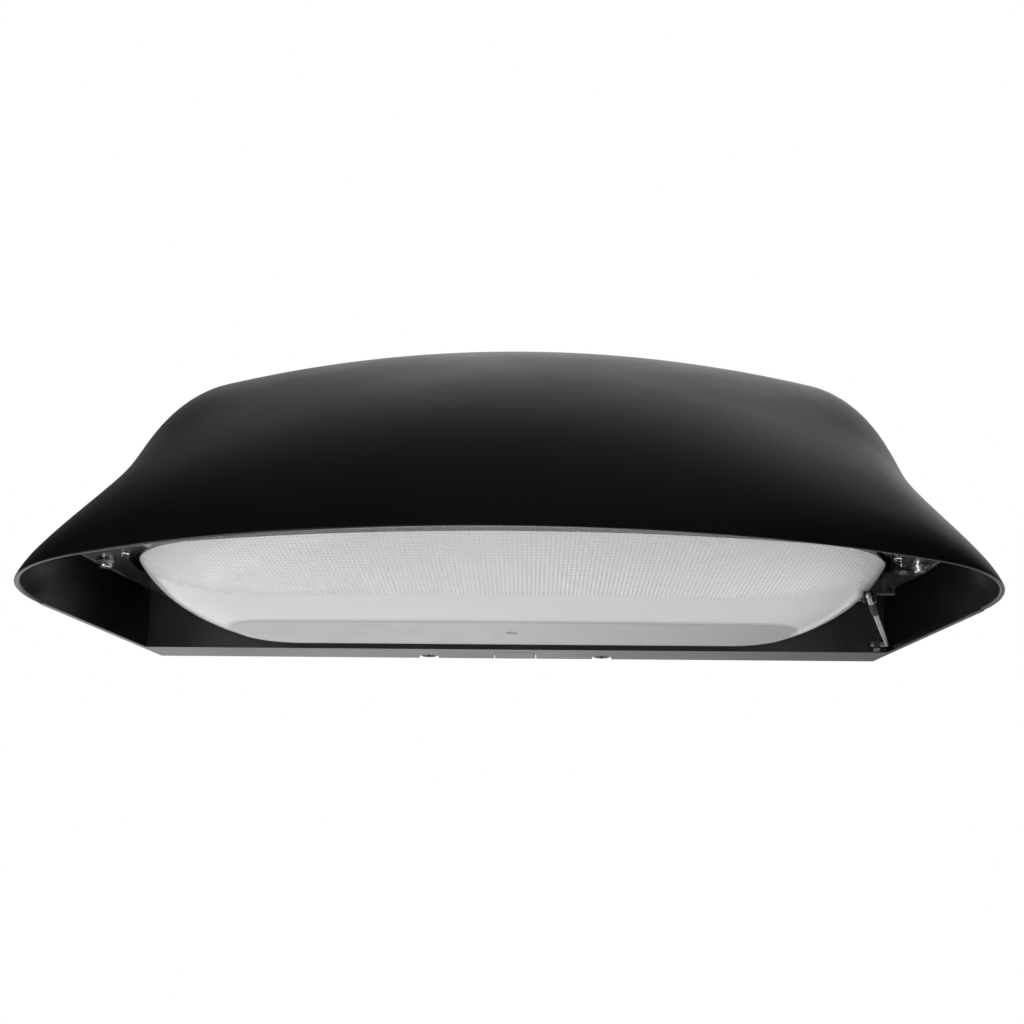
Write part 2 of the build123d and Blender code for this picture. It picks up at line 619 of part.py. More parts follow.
# ---- lens --------------------------------------------------------------------------------
def make_lens():
    lens = flange_plate(FLANGE_Z, FLANGE_Z + FLANGE_THICK) + bowl_solid(0.0, LENS_BOTTOM)
    lens -= bowl_solid(LENS_WALL, LENS_BOTTOM + LENS_WALL)
    lens -= mouth_plate(LENS_WALL, FLANGE_Z, FLANGE_Z + FLANGE_THICK)
    lens -= rod_up(0, DRAIN_Y, LENS_BOTTOM - 1, LENS_BOTTOM + LENS_WALL + 1, DRAIN_R)
    for side in SIDES:
        lens -= rod_up(side * EAR_X, EAR_Y, FLANGE_Z - 1, TRAY_Z, EAR_SCREW_R + SCREW_CLEARANCE)
        lens += rod_up(side * PIP_X, EAR_Y + PIP_AHEAD, FLANGE_Z - PIP_HEIGHT, FLANGE_Z, PIP_R)
    x, y = clip_rivet_place()
    return lens - rod_up(x, y, FLANGE_Z - 1, TRAY_Z, SMALL_SCREW_R)


def make_lens_gasket():
    """Ring round the bowl's mouth and a spacer at each ear, between flange and tray."""
    z0 = FLANGE_Z + FLANGE_THICK
    gasket = mouth_plate(-GASKET_RING, z0, TRAY_Z) - mouth_plate(0, z0, TRAY_Z)
    for side in SIDES:
        gasket += rod_up(side * EAR_X, EAR_Y, z0, TRAY_Z, BOSS_R)
        gasket -= rod_up(side * EAR_X, EAR_Y, z0, TRAY_Z, EAR_SCREW_R + SCREW_CLEARANCE)
    return gasket


def make_lens_screws():
    screws = Part()
    face = FLANGE_Z - WASHER_THICK
    for side in SIDES:
        x = side * EAR_X
        head = rod_up(x, EAR_Y, face - EAR_HEAD_H, face, EAR_HEAD_R)
        head = fillet(head.edges().group_by(Axis.Z)[0], EAR_HEAD_H * 0.55)
        for turn in (0, 90):
            cross = Box(EAR_HEAD_R * 1.1, EAR_HEAD_R * 0.26, EAR_HEAD_H)
            head -= Pos(x, -EAR_Y, face - EAR_HEAD_H) * Rot(0, 0, turn) * cross
        screws += head + rod_up(x, EAR_Y, face, TRAY_TOP + BOSS_HEIGHT - BOSS_ROOF, EAR_SCREW_R)
    return screws


def make_lens_washers():
    z0 = FLANGE_Z - WASHER_THICK
    washers = Part()
    for side in SIDES:
        washers += (rod_up(side * EAR_X, EAR_Y, z0, FLANGE_Z, WASHER_R)
                    - rod_up(side * EAR_X, EAR_Y, z0, FLANGE_Z, EAR_SCREW_R + SCREW_CLEARANCE))
    return washers


# ---- tray and optics ---------------------------------------------------------------------
def make_tray():
    """Black sheet that closes the hood around the lens and carries the optics."""
    slab = block(-FAR, FAR, STRIP_FRONT, FAR, TRAY_Z, TRAY_TOP)
    tray = hood_solid(HOOD_WALL + TRAY_GAP) & slab
    tray += block(-TRAY_FLANGE_HALF, TRAY_FLANGE_HALF, STRIP_FRONT, STRIP_FRONT + TRAY_THICK,
                  TRAY_Z, TRAY_TOP + TRAY_FLANGE_HEIGHT)
    tray -= mouth_plate(REFLECTOR_INSET, TRAY_Z - 1, TRAY_TOP + 1)
    for side in SIDES:
        x = side * EAR_X
        tray += rod_up(x, EAR_Y, TRAY_TOP, TRAY_TOP + BOSS_HEIGHT, BOSS_R)
        tray -= rod_up(x, EAR_Y, TRAY_Z - 1, TRAY_TOP + BOSS_HEIGHT - BOSS_ROOF, EAR_SCREW_R)
    for x, y in post_places():
        tray -= rod_up(x, y, TRAY_Z - 1, TRAY_TOP + 1, SCREW_R)
    for x, z in tray_flange_screw_places():
        tray -= rod_to_wall(x, z, STRIP_FRONT - 1, STRIP_FRONT + TRAY_THICK + 1, SCREW_R)
    for x, y in foot_screw_places():
        tray -= rod_up(x, y, TRAY_Z - 1, TRAY_TOP + 1, SMALL_SCREW_R)
    return tray


def make_tray_screws():
    screws = Part()
    for x, y in post_places():
        screws += screw_up(x, y, TRAY_Z, TRAY_THICK + BITE, SCREW_R, HEAD_R, HEAD_H)
    for x, z in tray_flange_screw_places():
        screws += screw_to_wall(x, z, STRIP_FRONT + TRAY_THICK, -TRAY_THICK - FRAME_WALL)
    return screws


def make_reflector():
    """White pan between the tray and the light boards, open at both ends."""
    def top_ring(inset):
        shape = {"half": BOARD_HALF_WIDTH + REFLECTOR_MARGIN, "front": BOARD_FRONT + REFLECTOR_MARGIN,
                 "rear_r": REFLECTOR_CORNER, "front_r": REFLECTOR_CORNER, "arc": 10 * FAR}
        return ring_wire(shape, BOARD_REAR - REFLECTOR_MARGIN, BOARD_Z, inset)

    def foot_ring(inset):
        return ring_wire(MOUTH, FLANGE_REAR + MOUTH_SETBACK, TRAY_TOP, REFLECTOR_INSET + inset)

    outer = Solid.make_loft([foot_ring(0.0), top_ring(0.0)], ruled=True)
    inner = Solid.make_loft([foot_ring(REFLECTOR_WALL), top_ring(REFLECTOR_WALL)], ruled=True)
    z1 = TRAY_TOP + REFLECTOR_WALL
    rim = (mouth_plate(REFLECTOR_INSET - REFLECTOR_RIM, TRAY_TOP, z1)
           - mouth_plate(REFLECTOR_INSET + REFLECTOR_WALL / 2, TRAY_TOP, z1))
    return (outer + rim) - inner


def board_span(index):
    """Left and right edge of one light board."""
    width = (2 * BOARD_HALF_WIDTH - (BOARD_COUNT - 1) * BOARD_GAP) / BOARD_COUNT
    left = -BOARD_HALF_WIDTH + index * (width + BOARD_GAP)
    return left, left + width


def make_boards():
    boards = [block(*board_span(i), BOARD_REAR, BOARD_FRONT, BOARD_Z, SINK_Z) for i in range(BOARD_COUNT)]
    return Part() + boards


def make_chips():
    """Rows of light chips under the boards."""
    half = CHIP_SIZE / 2
    chips = []
    for index in range(BOARD_COUNT):
        left, right = board_span(index)
        for column in range(CHIP_COLUMNS):
            x = left + (right - left) * (column + 0.5) / CHIP_COLUMNS
            for row in range(CHIP_ROWS):
                y = BOARD_REAR + (BOARD_FRONT - BOARD_REAR) * (row + 0.5) / CHIP_ROWS
                chips.append(block(x - half, x + half, y - half, y + half, BOARD_Z - CHIP_THICK, BOARD_Z))
    return Part() + chips


def make_heat_sink():
    half = BOARD_HALF_WIDTH + SINK_MARGIN
    rear, front = BOARD_REAR - SINK_MARGIN, BOARD_FRONT + SINK_MARGIN
    sink = block(-half, half, rear, front, SINK_Z, SINK_TOP)
    fin_half = half - FIN_END
    first = rear + FIN_START
    pitch = (front - FIN_THICK - first) / (FIN_COUNT - 1)
    for index in range(FIN_COUNT):
        y = first + index * pitch
        sink += block(-fin_half, fin_half, y, y + FIN_THICK, SINK_TOP, SINK_TOP + FIN_HEIGHT)
    for x, y in grip_screw_places():
        sink -= rod_up(x, y, SINK_Z - 1, SINK_TOP + 1, SMALL_SCREW_R)
    for x, y in board_lead_places():
        sink -= rod_up(x, y, SINK_Z - 1, SINK_TOP + 1, LEAD_R + LEAD_GAP)
    return sink


def bracket_ends():
    return BOARD_REAR + BRACKET_END, BOARD_FRONT - 2 * BRACKET_END


def foot_screw_places():
    rear, front = bracket_ends()
    x = BRACKET_X + SINK_BRACKET + (BRACKET_FOOT - SINK_BRACKET) / 2
    return [(s * x, y) for s in SIDES for y in (rear + BRACKET_SCREW_INSET, front - BRACKET_SCREW_INSET)]


def grip_screw_places():
    rear, front = bracket_ends()
    x = BOARD_HALF_WIDTH + SINK_MARGIN - BRACKET_GRIP / 2
    return [(s * x, y) for s in SIDES for y in (rear + BRACKET_SCREW_INSET, front - BRACKET_SCREW_INSET)]


def make_sink_brackets():
    """Two bent sheets that stand on the tray and hold the heat sink by its ends."""
    rear, front = bracket_ends()
    brackets = Part()
    for s in SIDES:
        foot = block(s * BRACKET_X, s * (BRACKET_X + BRACKET_FOOT), rear, front, TRAY_TOP,
                     TRAY_TOP + SINK_BRACKET)
        web = block(s * BRACKET_X, s * (BRACKET_X + SINK_BRACKET), rear, front, TRAY_TOP,
                    SINK_TOP + SINK_BRACKET)
        grip_end = BOARD_HALF_WIDTH + SINK_MARGIN - BRACKET_GRIP
        grip = block(s * grip_end, s * (BRACKET_X + SINK_BRACKET), rear, front, SINK_TOP,
                     SINK_TOP + SINK_BRACKET)
        brackets += foot + web + grip
    for x, y in foot_screw_places():
        brackets -= rod_up(x, y, TRAY_TOP - 1, TRAY_TOP + SINK_BRACKET + 1, SMALL_SCREW_R)
    for x, y in grip_screw_places():
        brackets -= rod_up(x, y, SINK_TOP - 1, SINK_TOP + SINK_BRACKET + 1, SMALL_SCREW_R)
    return brackets


def make_bracket_screws():
    screws = Part()
    for x, y in foot_screw_places():
        screws += screw_up(x, y, TRAY_TOP + SINK_BRACKET, -SINK_BRACKET - TRAY_THICK, SMALL_SCREW_R,
                           SMALL_HEAD_R, SMALL_HEAD_H)
    for x, y in grip_screw_places():
        screws += screw_up(x, y, SINK_TOP + SINK_BRACKET, -SINK_BRACKET - SINK_THICK, SMALL_SCREW_R,
                           SMALL_HEAD_R, SMALL_HEAD_H)
    return screws


# ---- driver and wiring -------------------------------------------------------------------
def driver_ear_places():
    x = DRIVER_LENGTH / 2 + BRACKET_EAR / 2
    return [(s * x, LEAD_Z) for s in SIDES]


def make_driver():
    y0 = STRIP_FRONT + BRACKET_THICK
    half = DRIVER_LENGTH / 2
    case = block(-half, half, y0, y0 + DRIVER_DEPTH, DRIVER_Z, DRIVER_Z + DRIVER_HEIGHT)
    return fillet(case.edges().filter_by(Axis.X).group_by(Axis.Y)[0], DRIVER_EDGE)


def make_driver_bracket():
    """Sheet on the bulkhead with a shelf for the driver."""
    half = DRIVER_LENGTH / 2
    y0, y1 = STRIP_FRONT, STRIP_FRONT + BRACKET_THICK
    ear = half + BRACKET_EAR
    bracket = block(-ear, ear, y0, y1, DRIVER_Z - BRACKET_THICK, DRIVER_Z + DRIVER_HEIGHT)
    bracket += block(-half, half, y0, y1 + DRIVER_DEPTH, DRIVER_Z - BRACKET_THICK, DRIVER_Z)
    bracket -= rod_to_wall(0, LEAD_Z, 0, y1, GROMMET_HOLE_R)
    for x, z in driver_ear_places():
        bracket -= rod_to_wall(x, z, y0 - 1, y1 + 1, SCREW_R)
    return bracket


def make_driver_screws():
    face = STRIP_FRONT + BRACKET_THICK
    return Part() + [screw_to_wall(x, z, face, -BRACKET_THICK - FRAME_WALL)
                     for x, z in driver_ear_places()]


def pole_places():
    pitch = BLOCK_LENGTH / POLE_COUNT
    return [BLOCK_X + (i - (POLE_COUNT - 1) / 2) * pitch for i in range(POLE_COUNT)]


def make_terminal_block():
    face = BULKHEAD_REAR - BLOCK_DEPTH
    foot = LEAD_Z - BLOCK_DROP
    half = BLOCK_LENGTH / 2
    body = block(BLOCK_X - half, BLOCK_X + half, face, BULKHEAD_REAR, foot, foot + BLOCK_HEIGHT)
    for x in pole_places():
        body -= rod_to_wall(x, foot + BLOCK_HEIGHT / 2, face - 1, face + BLOCK_DEPTH / 3, POLE_R)
    return body


def make_terminal_screws():
    face = BULKHEAD_REAR - BLOCK_DEPTH
    z = LEAD_Z - BLOCK_DROP + BLOCK_HEIGHT / 2
    return Part() + [rod_to_wall(x, z, face + BLOCK_DEPTH / 6, face + BLOCK_DEPTH / 3, POLE_R)
                     for x in pole_places()]


def make_grommet():
    """Rubber bush where the leads pass through the bulkhead."""
    lip = rod_to_wall(0, LEAD_Z, BULKHEAD_REAR - GROMMET_LIP, BULKHEAD_REAR, GROMMET_HOLE_R + GROMMET_WALL)
    body = rod_to_wall(0, LEAD_Z, BULKHEAD_REAR, STRIP_FRONT + BRACKET_THICK, GROMMET_HOLE_R)
    return lip + body - rod_to_wall(0, LEAD_Z, 0, FAR, GROMMET_HOLE_R - GROMMET_WALL)


def lead(points):
    """A lead along straight runs joined by bends."""
    path = FilletPolyline(*points, radius=LEAD_BEND)
    return sweep(Plane(origin=path @ 0, z_dir=path % 0) * Circle(LEAD_R), path=path)


def make_supply_leads():
    """From the terminal block through the grommet to the driver, the outermost lead on top."""
    y = -(BULKHEAD_REAR - BLOCK_DEPTH / 2)
    foot = LEAD_Z - BLOCK_DROP + BLOCK_HEIGHT
    end = -(STRIP_FRONT + BRACKET_THICK)
    leads = Part()
    for index, x in enumerate(pole_places()):
        level = LEAD_Z + ((POLE_COUNT - 1) / 2 - index) * (2 * LEAD_R + LEAD_GAP)
        leads += lead([(x, y, foot), (x, y, level), (0, y, level), (0, end, level)])
    return leads


def board_lead_places():
    x = DRIVER_LENGTH / 2 + LEAD_RUN
    y = BOARD_REAR + LEAD_PITCH / 2
    return [(x, y), (x + LEAD_PITCH, y + LEAD_PITCH)]


def make_board_leads():
    """From the driver's end down through the heat sink to the light boards."""
    leads = Part()
    z = DRIVER_Z + DRIVER_HEIGHT / 3
    for x, y in board_lead_places():
        leads += lead([(DRIVER_LENGTH / 2, -y, z), (x, -y, z), (x, -y, SINK_Z)])
    return leads


# ---- prop rod ----------------------------------------------------------------------------
def rod_pivot():
    x = REAR_HALF_WIDTH + STRIP_DEPTH * tan(radians(FLARE)) - ROD_SIDE
    return x, STRIP_FRONT + ROD_AHEAD, STRIP_THICK + ROD_LIFT


def rod_at(share):
    """Centre of the rod at a share of its length from the pivot."""
    x, y, z = rod_pivot()
    return x - share * ROD_LEAN, y + share * ROD_RUN, z + share * ROD_RISE


def make_prop_rod():
    """Steel rod whose eye pin lies across, in the saddle."""
    x, y, z = rod_pivot()
    tip_x, tip_y, tip_z = rod_at(1)
    start, end = Vector(x, -y, z), Vector(tip_x, -tip_y, tip_z)
    run = end - start
    straight = Plane(origin=start, z_dir=run) * Pos(0, 0, run.length / 2) * Cylinder(ROD_R, run.length)
    eye = rod_across(x - ROD_EYE, x, y, z, ROD_R)
    return straight + eye + Pos(*start) * Sphere(ROD_R) + Pos(*end) * Sphere(ROD_R)


def make_rod_saddle():
    """Saddle on the bulkhead that the rod's eye pin turns in."""
    x, y, z = rod_pivot()
    middle = x - ROD_EYE * 0.65
    half = SADDLE_WIDTH / 2
    reach = ROD_R + ROD_CLEARANCE + SADDLE_WALL
    arm = block(middle - half, middle + half, STRIP_FRONT, y + reach, SADDLE_FOOT, z + reach)
    return arm - rod_across(middle - half - 1, middle + half + 1, y, z, ROD_R + ROD_CLEARANCE)


def clip_place():
    """Middle of the clip: where it grips the rod, and the share of the rod's length there."""
    share = 1 - CLIP_SETBACK / ROD_RUN
    return rod_at(share)


def clip_rivet_place():
    _, y, _ = clip_place()
    return MOUTH["half"] + CLIP_STAND_OUT + CLIP_THICK + CLIP_FOOT / 2, y


def make_rod_clip():
    """Spring clip under the lens flange, open downwards, that holds the rod's tip."""
    x, y, z = clip_place()
    half = CLIP_LENGTH / 2
    gap = ROD_R + CLIP_PLAY
    roof = z + gap
    riser = MOUTH["half"] + CLIP_STAND_OUT
    ends = (y - half, y + half)
    clip = block(x - gap - CLIP_THICK, x - gap, *ends, roof - gap - CLIP_LEG / 2, roof + CLIP_THICK)
    clip += block(x + gap, x + gap + CLIP_THICK, *ends, roof - gap - CLIP_LEG / 2, roof + CLIP_THICK)
    clip += block(x - gap - CLIP_THICK, riser + CLIP_THICK, *ends, roof, roof + CLIP_THICK)
    clip += block(riser, riser + CLIP_THICK, *ends, roof, FLANGE_Z)
    clip += block(riser, riser + CLIP_THICK + CLIP_FOOT, *ends, FLANGE_Z - CLIP_THICK, FLANGE_Z)
    rivet_x, rivet_y = clip_rivet_place()
    return clip - rod_up(rivet_x, rivet_y, FLANGE_Z - CLIP_THICK - 1, FLANGE_Z + 1, SMALL_SCREW_R)


def make_clip_rivet():
    x, y = clip_rivet_place()
    foot = FLANGE_Z - CLIP_THICK
    top = FLANGE_Z + FLANGE_THICK
    rivet = rod_up(x, y, foot - 1, foot, SMALL_SCREW_R + 1) + rod_up(x, y, foot, top, SMALL_SCREW_R)
    return rivet + rod_up(x, y, top, top + 1, SMALL_SCREW_R + 1)


nodes = {
    "wall_plate": make_wall_plate,
    "box_gasket": make_box_gasket,
    "hanger_pins": make_hanger_pins,
    "lock_screws": make_lock_screws,
    "ground_screw": make_ground_screw,
    "hood": make_hood,
    "hood_screws": make_hood_screws,
    "back_frame": make_back_frame,
    "conduit_knockout": make_knockout,
    "lens": make_lens,
    "lens_gasket": make_lens_gasket,
    "lens_screws": make_lens_screws,
    "lens_washers": make_lens_washers,
    "optical_tray": make_tray,
    "tray_screws": make_tray_screws,
    "reflector": make_reflector,
    "led_boards": make_boards,
    "led_chips": make_chips,
    "heat_sink": make_heat_sink,
    "sink_brackets": make_sink_brackets,
    "bracket_screws": make_bracket_screws,
    "driver": make_driver,
    "driver_bracket": make_driver_bracket,
    "driver_screws": make_driver_screws,
    "terminal_block": make_terminal_block,
    "terminal_screws": make_terminal_screws,
    "lead_grommet": make_grommet,
    "supply_leads": make_supply_leads,
    "board_leads": make_board_leads,
    "prop_rod": make_prop_rod,
    "rod_saddle": make_rod_saddle,
    "rod_clip": make_rod_clip,
    "clip_rivet": make_clip_rivet,
}

os.makedirs("parts", exist_ok=True)
for name, make in nodes.items():
    export_step(Pos(0, 0, -PLATE_MIDDLE) * make(), f"parts/{name}.step")
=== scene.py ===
# %% [markdown]
# A wall pack light, dressed for a photograph. The solids come from the frame and stay where they
# are. This script gives each of them its finish and models by hand what needs finer form than
# the solids have, above all the bowl lens with its rows of small prisms. All lengths are in
# metres, +Z is up, +Y goes into the wall, and the origin is in the middle of the wall fixings.

# %% Load the frame
from math import asin, cos, pi, radians, sin, sqrt, tan

import bmesh
import bpy
from mathutils import Matrix, Vector


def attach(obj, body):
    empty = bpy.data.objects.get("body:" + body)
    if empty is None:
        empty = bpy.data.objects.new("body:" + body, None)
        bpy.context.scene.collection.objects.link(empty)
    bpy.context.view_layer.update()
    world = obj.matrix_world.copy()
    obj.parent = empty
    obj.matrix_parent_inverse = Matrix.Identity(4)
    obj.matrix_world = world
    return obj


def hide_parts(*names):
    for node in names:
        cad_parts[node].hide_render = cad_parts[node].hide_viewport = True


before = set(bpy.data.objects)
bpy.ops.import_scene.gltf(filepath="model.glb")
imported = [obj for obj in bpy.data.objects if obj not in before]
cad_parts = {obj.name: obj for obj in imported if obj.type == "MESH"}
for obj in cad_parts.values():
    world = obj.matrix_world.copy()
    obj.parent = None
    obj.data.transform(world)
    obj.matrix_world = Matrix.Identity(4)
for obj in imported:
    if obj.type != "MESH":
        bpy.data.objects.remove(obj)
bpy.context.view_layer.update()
scene = bpy.context.scene
MM = 0.001
RIM = -77.25  # height of the hood's bottom rim in this frame, in millimetres


# %% [markdown]
# The camera comes first, because every later judgement is made through it. The light was
# photographed from the front and from a little below, with a long lens. The eye point, the
# direction and a slight roll were solved from the picture's outlines.

# %% Camera
EYE = Vector((0.0374, -1.2131, -0.33025))
FORWARD = Vector((-0.0388, 0.9615, 0.2721)).normalized()
ROLL = radians(0.938)
FOCAL_PIXELS = 2358.7
FRAME_PIXELS = 1024
SHIFT_PIXELS = (15.8, -17.9)
SENSOR = 36.0

right = FORWARD.cross(Vector((0, 0, 1))).normalized()
above = right.cross(FORWARD)
side = right * cos(ROLL) + above * sin(ROLL)
top = above * cos(ROLL) - right * sin(ROLL)
pose = Matrix((side, top, -FORWARD)).transposed().to_4x4()
pose.translation = EYE
bpy.ops.object.camera_add()
camera = bpy.context.object
camera.name = "camera"
camera.matrix_world = pose
camera.data.sensor_width = SENSOR
camera.data.lens = SENSOR * FOCAL_PIXELS / FRAME_PIXELS
camera.data.shift_x = SHIFT_PIXELS[0] / FRAME_PIXELS
camera.data.shift_y = SHIFT_PIXELS[1] / FRAME_PIXELS
camera.data.clip_start = 0.05
camera.data.clip_end = 50
scene.camera = camera
print("lens", round(camera.data.lens, 2), "mm")


# %% [markdown]
# Materials and the studio are built from nodes. Most of them only map a value to a new range,
# do one sum or mix two values, so each of these gets a short helper that returns its output.

# %% Node helpers
def add_node(tree, kind, inputs=None, **settings):
    """A new node with its settings and the values or links of its inputs."""
    node = tree.nodes.new(kind)
    for name, value in settings.items():
        setattr(node, name, value)
    for name, value in (inputs or {}).items():
        if isinstance(value, bpy.types.NodeSocket):
            tree.links.new(value, node.inputs[name])
        else:
            node.inputs[name].default_value = value
    return node


def ramp(tree, value, start, end, low, high, smooth=False):
    """Maps start to low and end to high, and holds those values beyond them."""
    node = add_node(tree, "ShaderNodeMapRange",
                    {"Value": value, "From Min": start, "From Max": end,
                     "To Min": low, "To Max": high},
                    interpolation_type="SMOOTHSTEP" if smooth else "LINEAR")
    return node.outputs["Result"]


def calc(tree, operation, a, b=0.5):
    """One step of arithmetic on a value, or on two."""
    return add_node(tree, "ShaderNodeMath", {0: a, 1: b}, operation=operation).outputs[0]


def mixed(tree, share, a, b):
    """The value a where share is 0, and b where it is 1."""
    return add_node(tree, "ShaderNodeMix", {0: share, 2: a, 3: b}, data_type="FLOAT").outputs[0]


def ray_mask(tree):
    """1 where a ray looks at the backdrop itself: from the camera, a mirror image or glass."""
    rays = add_node(tree, "ShaderNodeLightPath").outputs
    seen = calc(tree, "MAXIMUM", rays["Is Camera Ray"], rays["Is Glossy Ray"])
    return rays, calc(tree, "MAXIMUM", seen, rays["Is Transmission Ray"])


WHITE = 1.0


def backdrop_level(tree, rays, mirrored):
    """What the backdrop shows: its own level in gloss, and plain white to camera and glass."""
    level = mixed(tree, rays["Is Transmission Ray"], mirrored, WHITE)
    return mixed(tree, rays["Is Camera Ray"], level, WHITE)


# %% [markdown]
# A black object shows mostly what it mirrors, so the studio around it matters as much as its
# paint. The camera and glass see plain white on every side. In gloss the sky is white towards
# the wall side and falls off upwards, to the front and to both sides, as between dark screens.
# Nothing in the sky is brighter than the white background, and matt surfaces get one even light.

# %% Sky
scene.view_settings.view_transform = "Standard"
EVEN_LIGHT = 0.9
DARK_SKY = 0.035
DARK_SCREEN = 0.05

world = bpy.data.worlds.new("studio_sky")
scene.world = world
world.use_nodes = True
tree = world.node_tree
tree.nodes.clear()
look = add_node(tree, "ShaderNodeTexCoord").outputs["Generated"]
look = add_node(tree, "ShaderNodeSeparateXYZ", {0: look}).outputs
wall_side = ramp(tree, look["Y"], 0.55, 1.0, DARK_SKY, WHITE, smooth=True)
off_centre = calc(tree, "ABSOLUTE", calc(tree, "SUBTRACT", look["X"], 0.08))
screens = ramp(tree, off_centre, 0.08, 0.5, 1.0, DARK_SCREEN, smooth=True)
rays, seen = ray_mask(tree)
mirrored = mixed(tree, seen, EVEN_LIGHT, calc(tree, "MULTIPLY", wall_side, screens))
level = backdrop_level(tree, rays, mirrored)
glow = add_node(tree, "ShaderNodeBackground", {"Color": (1, 1, 1, 1), "Strength": level})
add_node(tree, "ShaderNodeOutputWorld", {"Surface": glow.outputs[0]})
print("sky nodes:", len(tree.nodes))


# %% [markdown]
# The floor lies well below the light. It is pale and matt for the light that it throws back, and
# plain white to the camera, so it shows no shadow. Gloss sees it white at the back and darker to
# the front, with a dark patch to the right, because the bottom strip is darker at its right end.
# Like the sky it is never brighter than the white background.

# %% Floor
FLOOR_SIZE = 16
FLOOR_DROP = -1.1
FLOOR_TONE = (0.82, 0.82, 0.82, 1)

bpy.ops.mesh.primitive_plane_add(size=FLOOR_SIZE, location=(0, 0, FLOOR_DROP))
floor = bpy.context.object
floor.name = "studio_floor"
floor_paint = bpy.data.materials.new("pale_floor")
floor_paint.use_nodes = True
tree = floor_paint.node_tree
tree.nodes.clear()
spot = add_node(tree, "ShaderNodeNewGeometry").outputs["Position"]
spot = add_node(tree, "ShaderNodeSeparateXYZ", {0: spot}).outputs
back = ramp(tree, spot["Y"], -1.2, 1.6, 0.12, WHITE, smooth=True)
left_of_patch = ramp(tree, spot["X"], -0.2105, 1.0, WHITE, 0.0)
right_of_patch = ramp(tree, spot["X"], 0.9, 1.5, 0.0, WHITE)
patch = calc(tree, "MAXIMUM", left_of_patch, right_of_patch)
rays, seen = ray_mask(tree)
level = backdrop_level(tree, rays, calc(tree, "MULTIPLY", back, patch))
matt = add_node(tree, "ShaderNodeBsdfDiffuse", {"Color": FLOOR_TONE})
bright = add_node(tree, "ShaderNodeEmission", {"Color": (1, 1, 1, 1), "Strength": level})
blend = add_node(tree, "ShaderNodeMixShader", {0: seen, 1: matt.outputs[0], 2: bright.outputs[0]})
add_node(tree, "ShaderNodeOutputMaterial", {"Surface": blend.outputs[0]})
floor.data.materials.append(floor_paint)
print("floor nodes:", len(tree.nodes))


# %% [markdown]
# Two soft boxes stand to the left and in front, one a little below the light and one near the
# floor. The left side gets more light from them than the right, as in the picture.

# %% Studio lamps
LAMP_AIM = (0, -0.1, -0.05)


def soft_lamp(name, place, size, power):
    """A square soft box that points from its place to the light."""
    bpy.ops.object.light_add(type="AREA", location=place)
    lamp = bpy.context.object
    lamp.name = name
    lamp.data.size = size
    lamp.data.energy = power
    towards = Vector(LAMP_AIM) - Vector(place)
    lamp.rotation_euler = towards.to_track_quat("-Z", "Y").to_euler()
    print(name, "power", power)


soft_lamp("lamp_left", (-1.5, -1.4, -0.3), size=0.9, power=13)
soft_lamp("lamp_low", (-0.6, -0.9, -0.95), size=0.8, power=7)


# %% [markdown]
# Almost every finish here is a plain colour with a fine grain: powder coat, plating, rubber.
# One shared group makes that grain from two noises, a small one for the texture and a large
# one for slow changes of tone. Each material places it with its own values and keeps its own
# shader, so that gloss and metal stay where an exporter can read them.

# %% A shared group for grained finishes
grain = bpy.data.node_groups.new("fine_grain", "ShaderNodeTree")
GRAIN_INPUTS = (("Colour A", "NodeSocketColor", (0.1, 0.1, 0.1, 1)),
                ("Colour B", "NodeSocketColor", (0.2, 0.2, 0.2, 1)),
                ("Grain Scale", "NodeSocketFloat", 900.0),
                ("Stretch", "NodeSocketVector", (1, 1, 1)),
                ("Rough Low", "NodeSocketFloat", 0.35),
                ("Rough High", "NodeSocketFloat", 0.5),
                ("Depth", "NodeSocketFloat", 0.00003),
                ("Strength", "NodeSocketFloat", 0.3))
GRAIN_OUTPUTS = (("Color", "NodeSocketColor"), ("Roughness", "NodeSocketFloat"),
                 ("Normal", "NodeSocketVector"))
for title, kind, start in GRAIN_INPUTS:
    socket = grain.interface.new_socket(title, in_out="INPUT", socket_type=kind)
    socket.default_value = start
for title, kind in GRAIN_OUTPUTS:
    grain.interface.new_socket(title, in_out="OUTPUT", socket_type=kind)

given = add_node(grain, "NodeGroupInput").outputs
place = add_node(grain, "ShaderNodeTexCoord").outputs["Object"]
stretched = add_node(grain, "ShaderNodeVectorMath", {0: place, 1: given["Stretch"]},
                     operation="MULTIPLY")
small = add_node(grain, "ShaderNodeTexNoise",
                 {"Vector": stretched.outputs[0], "Scale": given["Grain Scale"],
                  "Detail": 2.0, "Roughness": 0.55}).outputs["Fac"]
slow = add_node(grain, "ShaderNodeTexNoise",
                {"Vector": place, "Scale": 14.0, "Detail": 3.0}).outputs["Fac"]
tone = ramp(grain, calc(grain, "ADD", small, slow), 0.7, 1.3, 0.0, 1.0)
colour = add_node(grain, "ShaderNodeMix", {0: tone}, data_type="RGBA")
grain.links.new(given["Colour A"], colour.inputs[6])
grain.links.new(given["Colour B"], colour.inputs[7])
rough = ramp(grain, slow, 0.3, 0.7, given["Rough Low"], given["Rough High"])
bump = add_node(grain, "ShaderNodeBump", {"Strength": given["Strength"],
                                          "Distance": given["Depth"], "Height": small})
add_node(grain, "NodeGroupOutput", {"Color": colour.outputs[2], "Roughness": rough,
                                    "Normal": bump.outputs[0]})
print("grain nodes:", len(grain.nodes))


# %% [markdown]
# The shells are powder coated. What the picture doesn't show is finished as such lights usually
# are: zinc on the wall plate and brackets, bright or blackened screws, white paint, rubber and
# brass. Each is one call of the same helper, with two tones, a range of roughness and a grain.

